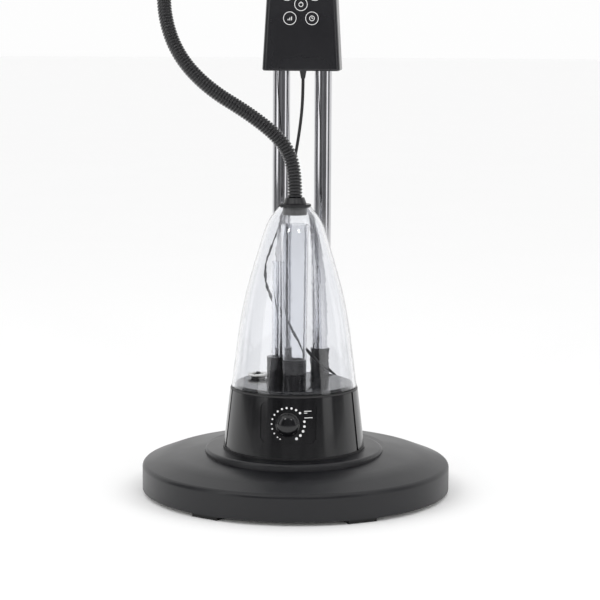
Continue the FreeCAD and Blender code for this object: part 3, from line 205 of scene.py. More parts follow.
class BladeSettings(bpy.types.PropertyGroup):
    count: IntProperty(name="Blades", description="Number of blades", default=5)
    tip: length("Tip radius", 0.181, "Radius of the blade tips")
    root: length("Root radius", 0.033, "Radius where a blade joins the hub")
    thickness: length("Thickness", 0.0022, "Thickness of a blade")
    camber: length("Camber", 0.006, "Hollow of a blade across its width")
    root_half: length("Root half width", 0.024, "Half a blade's width where it joins the hub")
    belly: length("Belly", 0.036, "Half width that a blade gains further out")
    root_pitch: turn("Root pitch", 38.0, "Pitch of a blade at the hub")
    tip_pitch: turn("Tip pitch", 18.0, "Pitch of a blade at its tip")
    forward: length("Forward", 0.033, "How far in front of the shaft's origin the tips lie")
    set_back: length("Set back", 0.022, "How far the root lies behind the tip")
    corner: length("Tip corner", 0.012, "How far a tip's corners are drawn in")
    sweep: length("Sweep", 0.010, "Sideways bow of a blade")


SETTINGS = {
    "mist_stage": StageSettings,
    "mist_finishes": FinishSettings,
    "mist_hose": HoseSettings,
    "mist_cable": CableSettings,
    "mist_dial": DialSettings,
    "mist_keys": KeySettings,
    "mist_cap": CapSettings,
    "mist_blades": BladeSettings,
}


# ---------------------------------------------------------------- finishes


class Reading:
    """A socket's output, so that shader maths reads as arithmetic."""

    def __init__(self, finish, socket):
        self.finish = finish
        self.socket = socket

    def _math(self, operation, first, second):
        return self.finish.node("Math", {"operation": operation}, {0: first, 1: second})

    def __add__(self, other):
        return self._math("ADD", self, other)

    def __mul__(self, other):
        return self._math("MULTIPLY", self, other)


class Finish:
    """A material whose nodes are added by name and joined by the values they are given."""

    def __init__(self, name, **shader_values):
        self.material = bpy.data.materials.new(name)
        self.material.use_nodes = True
        self.tree = self.material.node_tree
        self.shader = self.tree.nodes["Principled BSDF"]
        for label, value in shader_values.items():
            self.set(label.replace("_", " "), value)

    def join(self, value, socket):
        if isinstance(value, Reading):
            self.tree.links.new(value.socket, socket)
        elif isinstance(value, (tuple, list)) and socket.type == "RGBA":
            socket.default_value = (*value[:3], 1)
        else:
            socket.default_value = value

    def node(self, kind, settings, sockets, output=0):
        made = self.tree.nodes.new("ShaderNode" + kind)
        for name, value in settings.items():
            if name == "stops":
                for place, (position, shade) in enumerate(value):
                    if place >= 2:
                        made.color_ramp.elements.new(position)
                    made.color_ramp.elements[place].position = position
                    made.color_ramp.elements[place].color = (shade, shade, shade, 1)
            else:
                setattr(made, name, value)
        for name, value in sockets.items():
            self.join(value, made.inputs[name])
        return Reading(self, made.outputs[output])

    def set(self, label, value):
        names = {socket.name.lower(): socket for socket in self.shader.inputs}
        self.join(value, names[label.lower()])

    def place(self):
        return self.node("TexCoord", {}, {}, "Object")

    def noise(self, scale, detail=3.0, stretch=None):
        where = self.place()
        if stretch:
            where = self.node("Mapping", {}, {"Vector": where, "Scale": stretch})
        return self.node("TexNoise", {}, {"Vector": where, "Scale": scale, "Detail": detail})

    def spread(self, reading, low, high):
        """A 0 to 1 reading, stretched from its usual middle range to a range of values."""
        return self.node(
            "MapRange",
            {},
            {"Value": reading, "From Min": 0.3, "From Max": 0.7, "To Min": low, "To Max": high},
        )

    def blend_colour(self, factor, first, second):
        mix = self.tree.nodes.new("ShaderNodeMix")
        mix.data_type = "RGBA"
        colours = [socket for socket in mix.inputs if socket.type == "RGBA"]
        self.join(factor, mix.inputs[0])
        self.join(first, colours[0])
        self.join(second, colours[1])
        return Reading(self, [socket for socket in mix.outputs if socket.type == "RGBA"][0])

    def bump(self, height, strength, distance):
        self.set(
            "normal",
            self.node("Bump", {}, {"Height": height, "Strength": strength, "Distance": distance}),
        )


def lighter(shade, factor):
    return tuple(min(1.0, part * factor) for part in shade)


def moulded(name, shade, rough, grain=2500.0, depth=0.00002, coat=0.0, dust=1.5):
    """Moulded plastic: a fine grain, cloudy gloss and a little dust in the colour."""
    finish = Finish(name, roughness=rough, coat_weight=coat, coat_roughness=0.04)
    cloud = finish.noise(9.0, 4.0)
    fine = finish.noise(grain, 2.0)
    tint = finish.spread(cloud, 0.0, 1.0)
    finish.set("base color", finish.blend_colour(tint, shade, lighter(shade, dust)))
    finish.set("roughness", finish.spread(cloud, rough - 0.05, rough + 0.06))
    finish.bump(fine, 0.35, depth)
    return finish.material


def metal(name, shade, rough, stretch, streak=60.0, depth=0.000004):
    """Drawn, machined or cast metal: streaks along one direction in gloss and bump, and a cloudy
    colour.
    """
    finish = Finish(name, metallic=1.0)
    lines = finish.noise(streak, 3.0, stretch)
    cloud = finish.noise(14.0, 3.0)
    tint = finish.spread(cloud, 0.0, 1.0)
    finish.set("base color", finish.blend_colour(tint, shade, lighter(shade, 0.86)))
    finish.set("roughness", finish.spread(lines * 0.6 + cloud * 0.4, rough * 0.7, rough * 1.4))
    finish.bump(lines, 0.25, depth)
    return finish.material


def clear_plastic():
    """Clear moulded plastic, a little hazy where it has been wiped."""
    finish = Finish("clear_plastic", transmission_weight=1.0, ior=1.47, specular_ior_level=0.5)
    haze = finish.noise(22.0, 4.0, (1.0, 1.0, 0.35))
    finish.set("base color", finish.blend_colour(haze, (0.955, 0.96, 0.972), (0.91, 0.92, 0.945)))
    finish.set("roughness", finish.spread(haze, 0.0, 0.035))
    return finish.material


def board_green():
    """Green board with paler tracks."""
    finish = Finish("board_green", roughness=0.4)
    tracks = finish.node(
        "TexBrick",
        {},
        {"Vector": finish.place(), "Scale": 220.0, "Mortar Size": 0.03},
        "Fac",
    )
    finish.set("base color", finish.blend_colour(tracks, (0.01, 0.09, 0.035), (0.05, 0.22, 0.09)))
    finish.bump(tracks, 0.3, 0.00005)
    return finish.material


def printed():
    """White print whose ink is slightly uneven in tone and surface."""
    shade = tuple(bpy.context.scene.mist_finishes.print_white)
    finish = Finish("print_white", roughness=0.5)
    ink = finish.noise(1800.0)
    finish.set("base color", finish.blend_colour(ink, shade, lighter(shade, 0.88)))
    finish.bump(ink, 0.2, 0.00001)
    return finish.material


def make_finishes():
    """One material for each of the record's slots, and one for the printed marks."""
    look = bpy.context.scene.mist_finishes
    charcoal, gloss, satin = tuple(look.charcoal), tuple(look.gloss), tuple(look.satin)
    coat, blade, chrome = tuple(look.coat), tuple(look.blade), tuple(look.chrome)
    upright, level = (1.0, 1.0, 0.05), (0.05, 1.0, 1.0)
    return {
        "charcoal_shell": moulded("charcoal_shell", charcoal, 0.37, 1600.0, 0.00004, dust=1.35),
        "rubber_black": moulded("rubber_black", (0.012, 0.012, 0.012), 0.75, 900.0, 0.00006),
        "zinc_steel": metal("zinc_steel", (0.55, 0.55, 0.53), 0.32, upright),
        "cast_weight": moulded("cast_weight", (0.035, 0.035, 0.035), 0.7, 500.0, 0.0003),
        "chrome_tube": metal("chrome_tube", chrome, 0.07, upright, 90.0, 0.000002),
        "gloss_black": moulded("gloss_black", gloss, 0.15, 220.0, 0.000008, coat=0.15),
        "inner_black": moulded("inner_black", satin, 0.4),
        "cap_black": moulded("cap_black", satin, 0.3, 1200.0),
        "clear_plastic": clear_plastic(),
        "white_plastic": moulded("white_plastic", (0.7, 0.7, 0.68), 0.35, 900.0, dust=0.94),
        "board_green": board_green(),
        "motor_steel": metal("motor_steel", (0.5, 0.5, 0.52), 0.3, level),
        "disc_brass": metal("disc_brass", (0.7, 0.52, 0.22), 0.28, level),
        "cast_aluminium": metal(
            "cast_aluminium", (0.6, 0.6, 0.62), 0.42, (1.0, 1.0, 1.0), 300.0, 0.00004
        ),
        "box_black": moulded("box_black", (0.009, 0.009, 0.011), 0.3, 700.0, 0.00001, coat=0.1),
        "head_black": moulded("head_black", satin, 0.34, 1800.0, 0.00003),
        "guard_black": moulded("guard_black", coat, 0.3, 1400.0, 0.00002, coat=0.2),
        "blade_smoke": moulded("blade_smoke", blade, 0.22, 300.0, 0.00001, coat=0.3),
        "hose_black": moulded("hose_black", (0.006, 0.006, 0.007), 0.2, 1500.0, 0.00001, coat=0.3),
        "cable_black": moulded("cable_black", satin, 0.5, 1500.0, 0.00002),
        "tank_floor_gloss": moulded(
            "tank_floor_gloss", (0.003, 0.003, 0.004), 0.12, 200.0, 0.000006
        ),
        "print_white": printed(),
    }


FINISHES = {}


def finish_of(slot):
    if not FINISHES:
        FINISHES.update(make_finishes())
    return FINISHES[slot]


# ---------------------------------------------------------------- helpers for pieces

SHARP_ANGLE = 0.6


def piece(name, bm, slot, body, smooth=True):
    """Turns a bmesh into a finished object that rides on a body."""
    mesh = bpy.data.meshes.new(name)
    for face in bm.faces:
        face.smooth = smooth
    bm.to_mesh(mesh)
    bm.free()
    made = bpy.data.objects.new(name, mesh)
    bpy.context.scene.collection.objects.link(made)
    mesh.materials.append(finish_of(slot))
    if body:
        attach(made, body)
    return made


def soften(bm, edges, width, segments):
    """Rounds edges of a bmesh."""
    bmesh.ops.bevel(
        bm,
        geom=edges,
        offset=width,
        segments=segments,
        profile=0.5,
        affect="EDGES",
        material=-1,
        clamp_overlap=True,
    )


def spun(outline, steps, matrix=None, crease=0.0):
    """A bmesh turned from (radius, height) points about the upright axis, sharp rings bevelled."""
    bm = bmesh.new()
    points = [bm.verts.new((radius, 0, height)) for radius, height in outline]
    for first, second in zip(points, points[1:]):
        bm.edges.new((first, second))
    bmesh.ops.spin(
        bm,
        geom=bm.verts[:] + bm.edges[:],
        cent=(0, 0, 0),
        axis=(0, 0, 1),
        dvec=(0, 0, 0),
        angle=math.tau,
        steps=steps,
        use_merge=True,
        use_normal_flip=False,
        use_duplicate=False,
    )
    bmesh.ops.remove_doubles(bm, verts=bm.verts[:], dist=0.00001)
    bmesh.ops.recalc_face_normals(bm, faces=bm.faces[:])
    if crease:
        joints = [edge for edge in bm.edges if len(edge.link_faces) == 2]
        soften(bm, [edge for edge in joints if edge.calc_face_angle() > SHARP_ANGLE], crease, 3)
    if matrix:
        bmesh.ops.transform(bm, matrix=matrix, verts=bm.verts[:])
    return bm


def route_points(name, route):
    """The points of a smooth line along a route, as the spline itself gives them."""
    curve = route_curve(name, route)
    holder = bpy.data.objects.new(name + "_line", curve)
    mesh = bpy.data.meshes.new_from_object(holder)
    points = [vertex.co.copy() for vertex in mesh.vertices]
    bpy.data.objects.remove(holder)
    bpy.data.curves.remove(curve)
    bpy.data.meshes.remove(mesh)
    return points


def route_curve(name, route):
    curve = bpy.data.curves.new(name, "CURVE")
    curve.dimensions = "3D"
    curve.resolution_u = 16
    spline = curve.splines.new("NURBS")
    spline.points.add(len(route) - 1)
    for point, place in zip(spline.points, route):
        point.co = (*place, 1)
    spline.order_u = 3
    spline.use_endpoint_u = True
    return curve


def stations(points, step):
    """Evenly spaced (place, direction) pairs along a line of points."""
    found = []
    travelled, wanted = 0.0, 0.0
    for first, second in zip(points, points[1:]):
        run = (second - first).length
        while run and wanted <= travelled + run:
            place = first.lerp(second, (wanted - travelled) / run)
            found.append((place, (second - first).normalized()))
            wanted += step
        travelled += run
    return found


class Marks:
    """Flat printed marks drawn on a plane, then laid on a surface."""

    def __init__(self):
        self.bm = bmesh.new()

    def _settle(self, verts, x, y, angle=0.0):
        matrix = Matrix.Translation((x, y, 0)) @ Matrix.Rotation(angle, 4, "Z")
        bmesh.ops.transform(self.bm, matrix=matrix, verts=verts)

    def disc(self, x, y, radius, corners=20, angle=0.0):
        made = bmesh.ops.create_circle(self.bm, cap_ends=True, segments=corners, radius=radius)
        self._settle(made["verts"], x, y, angle)

    def bar(self, x, y, wide, tall, angle=0.0):
        made = bmesh.ops.create_grid(self.bm, x_segments=1, y_segments=1, size=0.5)
        bmesh.ops.scale(self.bm, vec=(wide, tall, 1), verts=made["verts"])
        self._settle(made["verts"], x, y, angle)

    def ring(self, x, y, outer, line, corners=48):
        made = bmesh.ops.create_circle(self.bm, cap_ends=False, segments=corners, radius=outer)
        rim = list({edge for vertex in made["verts"] for edge in vertex.link_edges})
        grown = bmesh.ops.extrude_edge_only(self.bm, edges=rim)
        inner = [item for item in grown["geom"] if isinstance(item, bmesh.types.BMVert)]
        share = (outer - line) / outer
        bmesh.ops.scale(self.bm, vec=(share, share, 1), verts=inner)
        self._settle(made["verts"] + inner, x, y)

    def laid(self, matrix, thickness):
        """Gives the marks their thickness and puts them in place."""
        for face in self.bm.faces:
            if face.normal.z < 0:
                face.normal_flip()
        grown = bmesh.ops.extrude_face_region(self.bm, geom=self.bm.faces[:])
        top = [item for item in grown["geom"] if isinstance(item, bmesh.types.BMVert)]
        bmesh.ops.translate(self.bm, vec=(0, 0, thickness), verts=top)
        bmesh.ops.recalc_face_normals(self.bm, faces=self.bm.faces[:])
        bmesh.ops.transform(self.bm, matrix=matrix, verts=self.bm.verts[:])
        return self.bm


def facing(origin, outward, up=(0, 0, 1)):
    """A matrix whose z looks outward from a surface and whose y points up it."""
    outward = Vector(outward).normalized()
    right = Vector(up).cross(outward).normalized()
    top = outward.cross(right)
    turned = Matrix((right, top, outward)).transposed().to_4x4()
    return Matrix.Translation(origin) @ turned


def joined(target, source):
    """Adds one bmesh's shape to another."""
    mesh = bpy.data.meshes.new("joining")
    source.to_mesh(mesh)
    source.free()
    target.from_mesh(mesh)
    bpy.data.meshes.remove(mesh)


# ---------------------------------------------------------------- operators


class PieceOperator:
    """What every step shares: it can be undone."""

    bl_options = {"REGISTER", "UNDO"}


class MISTFAN_OT_stage(PieceOperator, bpy.types.Operator):
    """Make the floor, the soft studio light and the camera"""

    bl_idname = "mistfan.stage"
    bl_label = "Stage"

    def execute(self, context):
        setup = context.scene.mist_stage
        self.make_camera(context, setup)
        self.make_floor(setup)
        self.make_sky(context, setup)
        self.make_wall(setup)
        lamps = (
            ("left_softbox", setup.key_power, (-1.7, -1.3, 1.3), (1.0, 2.4)),
            ("right_softbox", setup.fill_power, (1.9, -0.9, 1.2), (0.8, 2.4)),
            ("left_spot", setup.spot_power, (-0.7, -1.9, 1.7), (0.25, 0.25)),
            ("right_spot", setup.spot_power, (0.8, -1.9, 1.7), (0.25, 0.25)),
        )
        for name, power, place, size in lamps:
            self.make_lamp(name, power, place, size, setup.lamp_aim)
        context.scene.view_settings.view_transform = "Standard"
        return {"FINISHED"}

    def make_camera(self, context, setup):
        round_to = setup.camera_side
        place = Vector(
            (
                setup.camera_distance * math.sin(round_to),
                -setup.camera_distance * math.cos(round_to),
                setup.camera_height,
            )
        )
        heading = round_to + setup.camera_aim
        level = math.cos(setup.camera_down)
        forward = Vector(
            (-math.sin(heading) * level, math.cos(heading) * level, -math.sin(setup.camera_down))
        )
        right = forward.cross(Vector((0, 0, 1))).normalized()
        turned = Matrix((right, right.cross(forward), -forward)).transposed()
        rolled = Matrix.Rotation(setup.camera_roll, 3, -forward) @ turned
        data = bpy.data.cameras.new("camera")
        data.lens = setup.lens
        camera = bpy.data.objects.new("camera", data)
        camera.matrix_world = Matrix.Translation(place) @ rolled.to_4x4()
        context.scene.collection.objects.link(camera)
        context.scene.camera = camera

    def make_floor(self, setup):
        bm = bmesh.new()
        bmesh.ops.create_circle(bm, cap_ends=True, segments=96, radius=setup.floor_radius)
        finish = Finish("floor_paper", roughness=0.9)
        grain = finish.noise(3.0)
        shade = tuple(setup.floor_tone)
        finish.set("base color", finish.blend_colour(grain, shade, lighter(shade, 0.985)))
        mesh = bpy.data.meshes.new("floor")
        bm.to_mesh(mesh)
        bm.free()
        mesh.materials.append(finish.material)
        floor = bpy.data.objects.new("floor", mesh)
        bpy.context.scene.collection.objects.link(floor)

    def make_wall(self, setup):
        """A dark cloth round the front, which only polished surfaces reflect; its folds are not
        shaped but painted into its colour as pale and dark upright streaks of light and shade.
        """
        bm = bmesh.new()
        foot = bm.verts.new((0, -setup.wall_radius, 0))
        head = bm.verts.new((0, -setup.wall_radius, setup.wall_height))
        edge = bm.edges.new((foot, head))
        start = Matrix.Rotation(-setup.wall_turn / 2, 3, "Z")
        bmesh.ops.rotate(bm, cent=(0, 0, 0), matrix=start, verts=bm.verts[:])
        bmesh.ops.spin(
            bm,
            geom=[foot, head, edge],
            cent=(0, 0, 0),
            axis=(0, 0, 1),
            dvec=(0, 0, 0),
            angle=setup.wall_turn,
            steps=40,
            use_merge=False,
            use_normal_flip=False,
            use_duplicate=False,
        )
        finish = Finish("black_cloth_painted_folds", roughness=1.0)
        # Painted light and shade: pale upright streaks in the cloth's colour stand in for light
        # falling on folds, and polished surfaces show them as bright bands in their reflections.
        painted_fold_light = finish.spread(finish.noise(1.3, 2.0, (1.0, 1.0, 0.02)), 0.0, 1.0)
        finish.set("base color", finish.blend_colour(painted_fold_light, (0.01, 0.01, 0.01), (0.30, 0.30, 0.31)))
        mesh = bpy.data.meshes.new("dark_wall")
        bm.to_mesh(mesh)
        bm.free()
        mesh.materials.append(finish.material)
        wall = bpy.data.objects.new("dark_wall", mesh)
        bpy.context.scene.collection.objects.link(wall)
        wall.visible_camera = False
        wall.visible_diffuse = False
        wall.visible_shadow = False

    def make_sky(self, context, setup):
        sky = bpy.data.worlds.new("studio")
        sky.use_nodes = True
        background = sky.node_tree.nodes["Background"]
        background.inputs["Color"].default_value = (*setup.sky_tone, 1)
        background.inputs["Strength"].default_value = setup.sky_power
        context.scene.world = sky

    def make_lamp(self, name, power, place, size, aim_height):
        data = bpy.data.lights.new(name, "AREA")
        data.shape = "RECTANGLE"
        data.size, data.size_y = size
        data.energy = power
        lamp = bpy.data.objects.new(name, data)
        aim = Vector((0, 0, aim_height)) - Vector(place)
        turned = aim.to_track_quat("-Z", "Y").to_matrix().to_4x4()
        lamp.matrix_world = Matrix.Translation(place) @ turned
        bpy.context.scene.collection.objects.link(lamp)
        lamp.visible_camera = False


class MISTFAN_OT_finishes(PieceOperator, bpy.types.Operator):
    """Give every part of the frame the finish of its slot"""

    bl_idname = "mistfan.finishes"
    bl_label = "Finishes"

    def execute(self, context):
        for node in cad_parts.values():
            for holder in node.material_slots:
                holder.material = finish_of(holder.material.name.split(".")[0])
        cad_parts["tank_base_plate"].material_slots[0].material = finish_of("tank_floor_gloss")
        for clear in ("water_tank", "chimney_tube", "level_tube"):
            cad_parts[clear].visible_diffuse = False
            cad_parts[clear].visible_shadow = False
        return {"FINISHED"}


class MISTFAN_OT_hose(PieceOperator, bpy.types.Operator):
    """Make the ribbed mist hose from the tank's collar up to the nozzle"""

    bl_idname = "mistfan.hose"
    bl_label = "Mist hose"

    def execute(self, context):
        setup = context.scene.mist_hose
        points = route_points("mist_hose_route", HOSE_ROUTE)
        outer = setup.diameter / 2
        shoulder = outer - setup.groove * setup.shoulder_share
        rib = (outer - setup.groove, shoulder, outer, outer, outer, shoulder)
        bm = bmesh.new()
        ring = bmesh.ops.create_circle(bm, cap_ends=True, segments=setup.sides, radius=1.0)["verts"]
        before = Matrix.Identity(4)
        spin = Quaternion()
        heading = Vector((0, 0, 1))
        for count, (place, direction) in enumerate(stations(points, setup.pitch / len(rib))):
            spin = heading.rotation_difference(direction) @ spin
            heading = direction
            radius = rib[count % len(rib)]
            now = Matrix.LocRotScale(place, spin, (radius, radius, 1.0))
            if count:
                near = {edge for vertex in ring for edge in vertex.link_edges}
                rim = [edge for edge in near if all(vertex in ring for vertex in edge.verts)]
                grown = bmesh.ops.extrude_edge_only(bm, edges=rim)
                ring = [item for item in grown["geom"] if isinstance(item, bmesh.types.BMVert)]
            bmesh.ops.transform(bm, matrix=now @ before.inverted(), verts=ring)
            before = now
        bmesh.ops.holes_fill(bm, edges=[edge for edge in bm.edges if edge.is_boundary], sides=0)
        bmesh.ops.recalc_face_normals(bm, faces=bm.faces[:])
        hose = piece("corrugated_hose", bm, "hose_black", None)
        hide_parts("mist_hose")
        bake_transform(hose)
        self.make_cuff(setup)
        return {"FINISHED"}

    def make_cuff(self, setup):
        """A short ribbed sleeve where the hose goes into the nozzle."""
        x, y, top = HOSE_ROUTE[-1]
        tall = setup.cuff_length
        outer = setup.diameter / 2 + setup.cuff_wall
        inner = setup.diameter / 2 - setup.cuff_grip
        groove = outer - setup.cuff_groove
        outline = [(inner, 0), (groove, 0)]
        for rib in range(4):
            low = 0.001 + rib * setup.cuff_pitch
            outline += [(groove, low), (outer, low + 0.0006)]
            outline += [(outer, low + 0.0022), (groove, low + 0.0028)]
        outline += [(outer, tall - 0.0012), (outer, tall), (inner, tall), (inner, 0)]
        bm = spun(outline, 40, Matrix.Translation((x, y, top - tall)), 0.0002)
        piece("hose_cuff", bm, "cap_black", "swing_yoke")


class MISTFAN_OT_cable(PieceOperator, bpy.types.Operator):
    """Make the thin cable from the control box down to the mist unit"""

    bl_idname = "mistfan.cable"
    bl_label = "Cable"

    def execute(self, context):
        setup = context.scene.mist_cable
        curve = route_curve("link_cable", CABLE_ROUTE)
        curve.bevel_depth = setup.diameter / 2
        curve.bevel_resolution = 4
        curve.use_fill_caps = True
        curve.materials.append(finish_of("cable_black"))
        cable = bpy.data.objects.new("link_cable", curve)
        context.scene.collection.objects.link(cable)
        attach(cable, "stand")
        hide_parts("power_cable")
        return {"FINISHED"}


class MISTFAN_OT_dial(PieceOperator, bpy.types.Operator):
    """Make the domed mist knob and the printed ring of dots round it"""

    bl_idname = "mistfan.dial"
    bl_label = "Mist dial"

    def execute(self, context):
        setup = context.scene.mist_dial
        outward = Vector((0, -math.cos(setup.tilt), math.sin(setup.tilt)))
        self.make_knob(facing(Vector((0, -setup.reach, setup.height)), outward))
        self.make_dots(setup)
        return {"FINISHED"}

    def make_knob(self, matrix):
        outline = (
            (0, -0.006),
            (0.004, -0.006),
            (0.004, 0.0006),
            (0.0149, 0.0006),
            (0.0150, 0.0012),
            (0.0150, 0.0030),
            (0.0146, 0.0036),
            (0.0136, 0.0040),
            (0.0132, 0.0050),
            (0.0122, 0.0072),
            (0.0098, 0.0090),
            (0.0062, 0.0102),
            (0.0026, 0.0105),
            (0, 0.0106),
        )
        knob = piece("domed_knob", spun(outline, 48, matrix), "gloss_black", "mist_dial")
        smoother = knob.modifiers.new("smoother", "SUBSURF")
        smoother.levels = smoother.render_levels = 1
        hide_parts("mist_knob")

    def make_dots(self, setup):
        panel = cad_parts["humidifier_front_panel"]
        angles = [setup.first_dot]
        angles += [setup.second_dot + setup.dot_step * step for step in range(setup.dot_count)]
        whole = bmesh.new()
        for count, angle in enumerate(angles):
            if count == setup.left_out:
                continue
            share = count / (len(angles) - 1)
            marks = Marks()
            marks.disc(0, 0, setup.small_dot + (setup.large_dot - setup.small_dot) * share)
            x = -math.sin(angle) * setup.ring
            z = setup.height - math.cos(angle) * setup.ring
            joined(whole, marks.laid(self.on_panel(panel, x, z), setup.dot_ink))
        for x, rise, wide in DIAL_BARS:
            marks = Marks()
            marks.bar(0, 0, wide, setup.bar_width)
            spot = self.on_panel(panel, x, setup.height + rise)
            joined(whole, marks.laid(spot, setup.bar_ink))
        piece("dial_print", whole, "print_white", "stand", smooth=False)

    def on_panel(self, panel, x, z):
        """Where a mark lies on the curved panel, and which way it faces."""
        in_front = Vector((x, -0.3, z))
        found, place, normal, _ = panel.ray_cast(in_front, Vector((0, 1, 0)))
        if not found:
            raise RuntimeError("the dial's marks miss the front panel")
        return facing(place, normal)


class MISTFAN_OT_keys(PieceOperator, bpy.types.Operator):
    """Print a ring and a plain sign on each key of the control box"""

    bl_idname = "mistfan.keys"
    bl_label = "Key prints"

    def execute(self, context):
        setup = context.scene.mist_keys
        signs = {
            "key_off": ("off_button", self.off_sign),
            "key_speed": ("speed_button", self.speed_sign),
            "key_timer": ("timer_button", self.timer_sign),
            "key_mist": ("mist_button", self.mist_sign),
            "key_swing": ("swing_button", self.swing_sign),
        }
        for node, (body, sign) in signs.items():
            low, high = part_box(node)
            marks = Marks()
            marks.ring(0, 0, setup.ring, setup.line)
            sign(marks, setup.line)
            middle = Vector(((low.x + high.x) / 2, low.y, (low.z + high.z) / 2))
            bm = marks.laid(facing(middle, (0, -1, 0)), setup.ink)
            name = node + "_print"
            piece(name, bm, "print_white", body, smooth=False)
        return {"FINISHED"}

    def off_sign(self, marks, line):
        marks.ring(0, -0.0003, 0.0030, line, 32)
        marks.bar(0, 0.0022, line, 0.0028)

    def speed_sign(self, marks, line):
        for place in range(3):
            tall = 0.0018 + 0.0014 * place
            marks.bar(-0.0022 + 0.0022 * place, tall / 2 - 0.0025, line * 1.4, tall)

    def timer_sign(self, marks, line):
        marks.ring(0, 0, 0.0034, line, 32)
        marks.bar(0, 0.0010, line, 0.0022)
        marks.bar(0.0007, -0.0001, 0.0017, line)

    def mist_sign(self, marks, line):
        for x, y in ((-0.0024, -0.0008), (0, 0.0016), (0.0024, -0.0008)):
            marks.disc(x, y, 0.0011)

    def swing_sign(self, marks, line):
        marks.bar(0, 0, 0.0056, line)
        marks.disc(-0.0034, 0, 0.0014, 3, math.pi / 2 + math.pi / 3)
        marks.disc(0.0034, 0, 0.0014, 3, -math.pi / 2)


class MISTFAN_OT_cap(PieceOperator, bpy.types.Operator):
    """Set small raised grips round the tank's cap"""

    bl_idname = "mistfan.cap"
    bl_label = "Cap grips"

    def execute(self, context):
        setup = context.scene.mist_cap
        low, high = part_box("top_cap")
        radius = (high.x - low.x) / 2
        bm = bmesh.new()
        made = bmesh.ops.create_cube(bm, size=1.0)
        bmesh.ops.scale(bm, vec=(setup.deep, setup.wide, setup.tall), verts=made["verts"])
        soften(bm, bm.edges[:], setup.rounding, 2)
        middle = Vector(((low.x + high.x) / 2, (low.y + high.y) / 2, high.z - setup.drop))
        bmesh.ops.translate(bm, vec=middle + Vector((radius, 0, 0)), verts=bm.verts[:])
        bmesh.ops.spin(
            bm,
            geom=bm.verts[:] + bm.edges[:] + bm.faces[:],
            cent=middle,
            axis=(0, 0, 1),
            dvec=(0, 0, 0),
            angle=math.tau * (setup.count - 1) / setup.count,
            steps=setup.count - 1,
            use_merge=False,
            use_normal_flip=False,
            use_duplicate=True,
        )
        piece("cap_grips", bm, "cap_black", "stand", smooth=False)
        return {"FINISHED"}


class MISTFAN_OT_valve(PieceOperator, bpy.types.Operator):
    """Make the pale ring and button on the tank's filling valve"""

    bl_idname = "mistfan.valve"
    bl_label = "Valve ring"

    def execute(self, context):
        low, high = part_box("tank_valve")
        middle = Matrix.Translation(((low.x + high.x) / 2, (low.y + high.y) / 2, high.z))
        ring = (
            (0.0072, 0.0002),
            (0.0135, 0.0002),
            (0.0135, 0.0016),
            (0.0126, 0.0024),
            (0.0080, 0.0024),
            (0.0072, 0.0016),
            (0.0072, 0.0002),
        )
        piece("valve_ring", spun(ring, 48, middle), "white_plastic", "valve")
        button = ((0, 0), (0.0036, 0), (0.0036, 0.0034), (0.0030, 0.0042), (0, 0.0044))
        piece("valve_button", spun(button, 32, middle), "cap_black", "valve")
        return {"FINISHED"}


class MISTFAN_OT_blades(PieceOperator, bpy.types.Operator):
    """Make the curved blades and their domed hub"""

    bl_idname = "mistfan.blades"
    bl_label = "Blades"

    def execute(self, context):
        setup = context.scene.mist_blades
        low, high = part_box("rear_guard")
        shaft = Vector((0, 0, (low.z + high.z) / 2))
        whole = bmesh.new()
        for number in range(setup.count):
            bm = self.one_blade(setup)
            spin = Matrix.Rotation(math.tau / setup.count * number, 4, "Y")
            bmesh.ops.transform(bm, matrix=Matrix.Translation(shaft) @ spin, verts=bm.verts[:])
            joined(whole, bm)
        blades = piece("curved_blades", whole, "blade_smoke", "impeller")
        wall = blades.modifiers.new("wall", "SOLIDIFY")
        wall.thickness = setup.thickness
        wall.offset = 0
        smoother = blades.modifiers.new("smoother", "SUBSURF")
        smoother.levels = smoother.render_levels = 1
        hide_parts("fan_blade")
        self.make_hub(Matrix.Translation(shaft) @ Matrix.Rotation(math.pi / 2, 4, "X"))
        return {"FINISHED"}

    def one_blade(self, setup):
        """A blade standing straight up from the shaft, with its twist, sweep and round tip."""
        bm = bmesh.new()
        bmesh.ops.create_grid(bm, x_segments=10, y_segments=14, size=1.0)
        for vertex in bm.verts:
            across, along = vertex.co.x, (vertex.co.y + 1) / 2
            half = setup.root_half + setup.belly * math.sin(math.pi * 0.60 * along**0.9)
            half *= math.sqrt(max(0.03, 1 - along**9))
            pitch = setup.root_pitch + (setup.tip_pitch - setup.root_pitch) * along**0.7
            middle = setup.set_back * (1 - along) ** 1.2 - setup.forward
            radius = setup.root + (setup.tip - setup.root) * along
            radius -= setup.corner * abs(across) ** 3 * along
            hollow = setup.camber * (1 - across * across)
            swing = setup.sweep * math.sin(math.pi * along)
            vertex.co = (
                across * half * math.cos(pitch) + swing + hollow * math.sin(pitch),
                middle - across * half * math.sin(pitch) + hollow * math.cos(pitch),
                radius,
            )
        return bm

    def make_hub(self, matrix):
        outline = (
            (0.0042, -0.015),
            (0.009, -0.015),
            (0.009, 0.010),
            (0.033, 0.010),
            (0.033, -0.017),
            (0.036, -0.017),
            (0.036, 0.012),
            (0.0345, 0.0155),
            (0.030, 0.0168),
            (0.0042, 0.0168),
            (0.0042, -0.015),
        )
        piece("blade_hub", spun(outline, 72, matrix, 0.0004), "blade_smoke", "impeller")


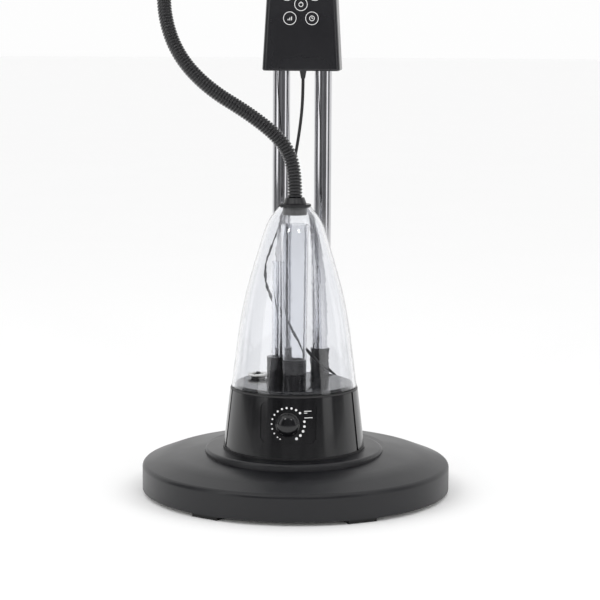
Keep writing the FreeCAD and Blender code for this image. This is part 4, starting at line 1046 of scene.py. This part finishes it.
class MISTFAN_OT_badge(PieceOperator, bpy.types.Operator):
    """Put a plain ringed plate on the middle of the front guard"""

    bl_idname = "mistfan.badge"
    bl_label = "Guard plate"

    def execute(self, context):
        low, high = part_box("front_guard")
        shaft = (low.z + high.z) / 2
        outline = (
            (0, 0),
            (0.033, 0),
            (0.033, 0.0010),
            (0.031, 0.0018),
            (0.028, 0.0018),
            (0.027, 0.0008),
            (0.022, 0.0008),
            (0.012, 0.0012),
            (0, 0.0014),
        )
        matrix = facing(Vector((0, low.y + 0.0006, shaft)), (0, -1, 0))
        piece("guard_plate", spun(outline, 72, matrix, 0.0002), "head_black", "fan_head")
        return {"FINISHED"}


STEPS = (
    MISTFAN_OT_stage,
    MISTFAN_OT_finishes,
    MISTFAN_OT_hose,
    MISTFAN_OT_cable,
    MISTFAN_OT_dial,
    MISTFAN_OT_keys,
    MISTFAN_OT_cap,
    MISTFAN_OT_valve,
    MISTFAN_OT_blades,
    MISTFAN_OT_badge,
)


class MISTFAN_PT_build(bpy.types.Panel):
    """Buttons that build each group of pieces"""

    bl_label = "Misting pedestal fan"
    bl_space_type = "VIEW_3D"
    bl_region_type = "UI"
    bl_category = "Mist Fan"

    def draw(self, context):
        for step in STEPS:
            self.layout.operator(step.bl_idname)
        for name, group in SETTINGS.items():
            box = self.layout.box()
            for label in group.__annotations__:
                box.prop(getattr(context.scene, name), label)


def register():
    for name, group in SETTINGS.items():
        bpy.utils.register_class(group)
        setattr(bpy.types.Scene, name, PointerProperty(type=group))
    for step in STEPS:
        bpy.utils.register_class(step)
    bpy.utils.register_class(MISTFAN_PT_build)


def unregister():
    bpy.utils.unregister_class(MISTFAN_PT_build)
    for step in reversed(STEPS):
        bpy.utils.unregister_class(step)
    for name, group in SETTINGS.items():
        delattr(bpy.types.Scene, name)
        bpy.utils.unregister_class(group)


def main():
    register()
    for step in STEPS:
        family, name = step.bl_idname.split(".")
        getattr(getattr(bpy.ops, family), name)()


if __name__ == "__main__":
    main()
